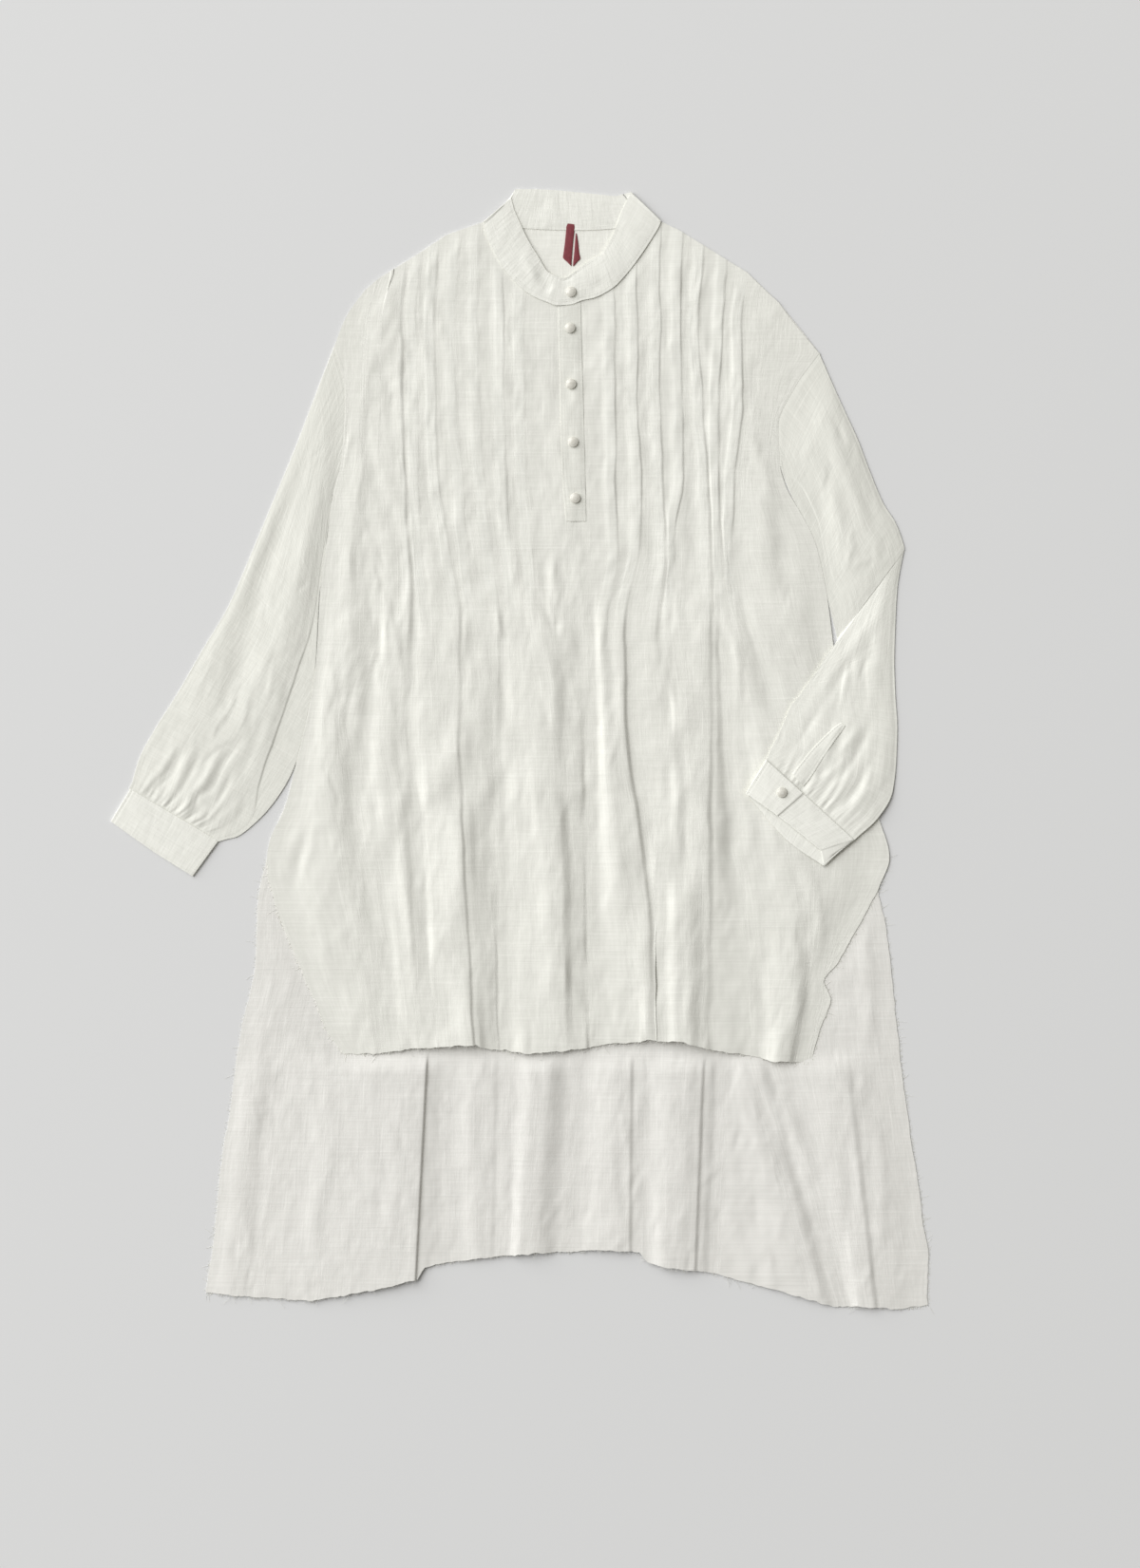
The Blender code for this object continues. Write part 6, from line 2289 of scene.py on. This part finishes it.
@dataclass
class Threads:
    """Thin threads in one piece: the fray of cut edges, or the stitches of seams."""

    name: str
    node: str
    slot: Slot
    thick: float
    lifts: tuple[float, float, float] = (-0.06, 0.05, -0.06)
    runs: list[np.ndarray] = field(default_factory=list)

    def fray(self, edge: np.ndarray, outward: float, count: int, cloth: Lay, below: Lay, seed: int) -> None:
        """Adds the loose threads of a cut edge.

        Args:
            edge: Points along the edge.
            outward: 1 where outside lies to the left of the way along the edge, -1 to the right.
            count: How many threads.
            cloth: The panel that frays.
            below: What lies under its edge.
            seed: Which of the patterns.
        """
        chance = np.random.default_rng(seed)
        steps = np.hypot(*np.diff(edge, axis=0).T)
        far = way_along(edge)
        for at in np.sort(chance.uniform(0.0, far[-1], count)):
            k = min(int(np.searchsorted(far, at)), len(edge) - 1)
            run = (edge[k] - edge[k - 1]) / max(steps[k - 1], 1e-6)
            spot = np.array([np.interp(at, far, edge[:, 0]), np.interp(at, far, edge[:, 1])])
            out = np.array([-run[1], run[0]]) * outward
            length = chance.uniform(1.2, 3.6) if chance.random() < 0.95 else chance.uniform(5.0, 11.0)
            turn = chance.normal() * 0.55
            way = out * math.cos(turn) + run * math.sin(turn)
            bend = run * chance.uniform(-0.35, 0.35) * length
            start = spot - out * 1.7
            high = cloth.top(*start) - 0.2
            if high < 0.1:
                continue
            half, end = spot + way * length * 0.45 + bend * 0.3, spot + way * length + bend
            floor = [below.top(*place) + 0.12 for place in (half, end)]
            self.runs.append(np.array([[*start, high], [*half, max(high - 0.25, floor[0])],
                                       [*end, max(high - 0.3 - 0.2 * length, floor[1])]]))

    def stitch(self, line: np.ndarray, cloth: Lay, long: float = 1.9, apart: float = 2.9) -> None:
        """Adds a row of stitches.

        Args:
            line: The points that it runs along.
            cloth: What it lies on.
            long: A stitch's length, in millimetres.
            apart: Their pitch.
        """
        far = way_along(line)
        for at in np.arange(apart / 2, far[-1] - apart / 2, apart):
            stops = [at - long / 2, at, at + long / 2]
            places = np.stack([np.interp(stops, far, line[:, k]) for k in (0, 1)], axis=1)
            highs = [cloth.top(*place) for place in places]
            if min(highs) > 0.1:
                self.runs.append(np.column_stack([places, np.array(highs) + self.lifts]))

    def stitch_edges(self, one: Outline, two: Outline, inset: float, ends: float, cloth: Lay) -> None:
        """Stitches a band along both its edges, that far in and that far from its ends."""
        for edge, other in ((one, two), (two, one)):
            self.stitch(inset_line(edge, other, inset, ends), cloth)

    def build(self, material: bpy.types.Material) -> bpy.types.Object:
        """Makes the piece: a four-sided tube along each run.

        Args:
            material: Its finish.

        Returns:
            The dressed piece.
        """
        curve = bpy.data.curves.new(self.name, "CURVE")
        curve.dimensions = "3D"
        curve.bevel_depth = self.thick * 0.5 * METRES
        curve.bevel_resolution = 0
        curve.use_fill_caps = True
        for run in self.runs:
            spline = curve.splines.new("POLY")
            spline.points.add(len(run) - 1)
            for point, place in zip(spline.points, run * METRES):
                point.co = (*place, 1.0)
        maker = link(f"{self.name}_path", curve)
        mesh = bpy.data.meshes.new_from_object(maker.evaluated_get(bpy.context.evaluated_depsgraph_get()))
        bpy.data.objects.remove(maker)
        bpy.data.curves.remove(curve)
        mesh.name = self.name
        mesh.materials.clear()
        mesh.shade_smooth()
        piece = link(self.name, mesh)
        dress(piece, self.node, material)
        return piece


def hem_line(points: Outline) -> np.ndarray:
    """Returns close points along a hem."""
    x = np.linspace(points[0][0], points[-1][0], 200)
    return np.stack([x, edge_height(points, x)], axis=1)


def side_line(points: Outline) -> np.ndarray:
    """Returns close points down a side edge."""
    y = np.linspace(points[0][1], points[-1][1], 160)
    return np.stack([down_line(points, y), y], axis=1)


def inset_line(one: Outline, two: Outline, inset: float, ends: float) -> np.ndarray:
    """Returns close points along one edge of a band, set in towards its other edge.

    Args:
        one: The edge.
        two: The other edge.
        inset: How far in, in millimetres.
        ends: How far the line stays from the band's ends.

    Returns:
        The points.
    """
    reads = np.linspace(0.0, 1.0, 120)
    near, other = along_points(one, reads), along_points(two, reads)
    run = other - near
    line = near + run / np.hypot(*run.T)[:, None] * inset
    far = way_along(line)
    return line[(far >= ends) & (far <= far[-1] - ends)]


@dataclass
class Studio:
    """Camera, lights and floor."""

    eye: tuple[float, float, float] = (0.0499, -0.0356, 3.0)
    view_height: float = 1.568
    sensor: float = 36.0
    key_from: tuple[float, float, float] = (-14.0, 8.4, 10.2)
    key_size: float = 26.0
    key_power: float = 7250.0
    key_colour: tuple[float, float, float] = (0.98, 0.983, 1.0)
    sky: float = 0.26
    sky_colour: Colour = (1.0, 0.972, 0.905, 1.0)
    floor_half: float = 2.4

    def build(self, material: bpy.types.Material) -> None:
        """Sets up the studio.

        Args:
            material: The floor's finish.
        """
        scene = bpy.context.scene
        lens = bpy.data.cameras.new("camera")
        lens.sensor_fit = "VERTICAL"
        lens.sensor_height = self.sensor
        lens.lens = self.sensor * self.eye[2] / self.view_height
        scene.camera = link("camera", lens)
        scene.camera.location = self.eye
        scene.world = bpy.data.worlds.new("sky")
        scene.world.use_nodes = True
        sky = scene.world.node_tree.nodes["Background"]
        sky.inputs["Color"].default_value = self.sky_colour
        sky.inputs["Strength"].default_value = self.sky
        key = bpy.data.lights.new("key", "AREA")
        key.shape = "DISK"
        key.size = self.key_size
        key.energy = self.key_power
        key.color = self.key_colour
        lamp = link("key", key)
        lamp.location = self.key_from
        lamp.rotation_euler = (-Vector(self.key_from)).to_track_quat("-Z", "Y").to_euler()
        builder = bmesh.new()
        bmesh.ops.create_grid(builder, x_segments=8, y_segments=8, size=self.floor_half)
        mesh = mesh_of("floor", builder)
        mesh.materials.append(material)
        link("floor", mesh)
        scene.view_settings.view_transform = "Standard"
        scene.view_settings.look = "None"


def sew(front: Front, material: bpy.types.Material,
        lay: dict[str, Lay]) -> dict[str, list[bpy.types.Object]]:
    """Sews the seams and frays the cut edges.

    Args:
        front: The front panel, for its tucks.
        material: The thread's finish.
        lay: The cloth pieces made so far.

    Returns:
        The threads of each cloth piece.
    """
    sewn = {name: [] for name in lay}
    for name, below, hem, left, right, counts, seed in (
            ("front", lay["back"], FRONT_HEM, FRONT_SLIT_LEFT, FRONT_SLIT_RIGHT, (300, 130, 140), 801),
            ("back", Lay(), BACK_HEM, BACK_SLIT_LEFT, BACK_SLIT_RIGHT, (460, 260, 420), 811)):
        fray = Threads(f"{name}_fray", name, Slot.LINEN, 0.2)
        edges = ((hem_line(hem), -1.0), (side_line(left), -1.0), (side_line(right), 1.0))
        for k, (edge, outward) in enumerate(edges):
            fray.fray(edge, outward, counts[k], lay[name], below, seed + k)
        sewn[name].append(fray.build(material))
    seams = Threads("tuck_stitches", "front", Slot.LINEN, 0.22)
    for number, fold in enumerate(FRONT_FOLDS):
        if fold.bib[0] > fold.bib[1] + 1.5:
            y = np.linspace(front.bib_foot + 22.0, edge_height(front.top_edge, fold.top) - 3.0, 90)
            x = front.fold_line(number, fold).place(y) - front.tuck_band - 0.4
            seams.stitch(np.stack([x, y], axis=1), lay["front"])
    sewn["front"].append(seams.build(material))
    left, right = zip(*PLACKET)
    seams = Threads("placket_stitches", "placket", Slot.BAND, 0.26)
    seams.stitch_edges(left, right, 1.8, 3.0, lay["placket"])
    for up in (2.2, 15.0):
        ends = (left[-1][0] + 2.0, right[-1][0] - 2.0)
        seams.stitch(np.array([[x, left[-1][1] + up] for x in ends]), lay["placket"])
    sewn["placket"].append(seams.build(material))
    seams = Threads("collar_stitches", "collar", Slot.BAND, 0.26)
    seams.stitch_edges([band.seam for band in COLLAR_FRONT], [band.edge for band in COLLAR_FRONT], 2.2, 4.0,
                       lay["collar"])
    sewn["collar"].append(seams.build(material))
    for node, seam, edge in (("cuff_left", CUFF_LEFT_SEAM, CUFF_LEFT_OPEN),
                             ("cuff_right", CUFF_RIGHT_SEAM, CUFF_RIGHT_OPEN_UPPER)):
        seams = Threads(f"{node}_stitches", node, Slot.BAND, 0.26)
        seams.stitch_edges(seam, edge, 2.4, 3.0, lay[node])
        run = np.array(seam[-1], float) - np.array(seam[0], float)
        for k, along in ((0, 1.0), (-1, -1.0)):
            seams.stitch(np.array([seam[k], edge[k]], float) + along * 2.4 * run / np.hypot(*run), lay[node])
        sewn[node].append(seams.build(material))
    left, right = zip(*SLEEVE_STRIP)
    seams = Threads("strip_stitches", "sleeve_placket_right", Slot.BAND, 0.24)
    seams.stitch_edges(left, right, 1.4, 5.0, lay["strip"])
    sewn["strip"].append(seams.build(material))
    return sewn


def main() -> None:
    """Loads the frame, builds every piece from the table up and sets up the studio."""
    logging.basicConfig(level=logging.INFO, format="%(name)s: %(message)s")
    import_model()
    wardrobe = Wardrobe()
    Studio().build(wardrobe.floor)
    cuts: dict[str, Cut] = {"back": Back(), "front": Front()}
    cloth = {"back": cuts["back"].build(wardrobe.back), "front": cuts["front"].build(wardrobe.front)}
    body = Lay(cloth["back"], cloth["front"])
    left = Sleeve(name="sleeve_left_cloth", node="sleeve_left", rests_on=("floor",), area=0.089,
                  sections=SLEEVE_LEFT, on_table=len(SLEEVE_LEFT) + 1, outward=-1, armhole=ARMHOLE_LEFT,
                  body_side=Back.left, creases=LEFT_SLEEVE_CREASES, seed=201, spread=(-390, -95, -185, 395),
                  tilt=24.0, swell=0.86, lean=-0.15, crisp=0.85)
    left.state(left.build(wardrobe.sleeve))
    right = Sleeve(name="sleeve_right_cloth", node="sleeve_right", rests_on=("floor", "front_cloth"),
                   area=0.084, sections=SLEEVE_RIGHT_UPPER + SLEEVE_RIGHT_FOREARM,
                   on_table=len(SLEEVE_RIGHT_UPPER), outward=1, armhole=ARMHOLE_RIGHT, body_side=Back.right,
                   creases=RIGHT_SLEEVE_CREASES, seed=301, spread=(245, -90, 385, 395), tilt=12.0,
                   swell=1.2, lean=0.5)
    right.lay_on(body)
    right_cloth = right.build(wardrobe.sleeve)
    right.state(right_cloth)
    cuts["placket"] = Strip(name="placket_strip", node="placket", rests_on=("front_cloth",),
                            flat=(0.024, 0.222), area=0.005, rows=PLACKET, length=110, cover=0.0)
    cuts["collar"] = Collar()
    cuts["cuff_left"] = Cuff(name="cuff_left_band", node="cuff_left", rests_on=("floor",), flat=(0.22, 0.041),
                             seam=CUFF_LEFT_SEAM, open_upper=CUFF_LEFT_OPEN, open_lower=CUFF_LEFT_OPEN,
                             overlap=0.0, seed=401)
    cuts["cuff_right"] = Cuff(name="cuff_right_band", node="cuff_right", rests_on=("front_cloth",),
                              flat=(0.24, 0.041), seam=CUFF_RIGHT_SEAM, open_upper=CUFF_RIGHT_OPEN_UPPER,
                              open_lower=CUFF_RIGHT_OPEN_LOWER, overlap=0.9, seed=451, far_round=1.5,
                              far_lift=0.95, cover=1.0, wall=0.45, lay=body)
    for name in ("cuff_left", "cuff_right", "collar"):
        cloth[name] = cuts[name].build(wardrobe.band)
    cloth["placket"] = cuts["placket"].build(wardrobe.sleeve, Lay(cloth["front"]))
    cuts["strip"] = Strip(name="sleeve_strip", node="sleeve_placket_right", rests_on=("sleeve_right_cloth",),
                          flat=(0.016, 0.06), area=0.0008, rows=SLEEVE_STRIP, length=44)
    cloth["strip"] = cuts["strip"].build(wardrobe.sleeve, Lay(right_cloth))
    neck = Lay(cloth["back"], cloth["collar"])
    for name, rows, area, seed in (("ribbon_long_leg", RIBBON_LONG_LEG, 0.00036, 161),
                                   ("ribbon_short_leg", RIBBON_SHORT_LEG, 0.00018, 163)):
        leg = Strip(name=name, node="neck_loop", slot=Slot.RIBBON, rests_on=("back_cloth",),
                    flat=(0.010, 0.042), area=area, rows=rows, wall=0.6, gap=0.12, length=34, width=11,
                    stitch_dip=0.0, crumple_rise=0.12, seed=seed)
        leg.state(leg.build(wardrobe.ribbon, neck))
    sewn = sew(cuts["front"], wardrobe.thread, {name: Lay(piece) for name, piece in cloth.items()})
    for name, cut in cuts.items():
        cut.state(cloth[name], sewn[name])
    tops = Lay(cloth["front"], cloth["placket"], cloth["collar"])
    for number, centre in enumerate(PLACKET_BUTTONS, start=1):
        Button(f"shell_button_{number}", f"button_{number}", centre).build(wardrobe.shell, tops)
    Button("shell_cuff_button", "cuff_button", CUFF_BUTTON).build(wardrobe.shell, Lay(cloth["cuff_right"]))


if __name__ == "__main__":
    main()
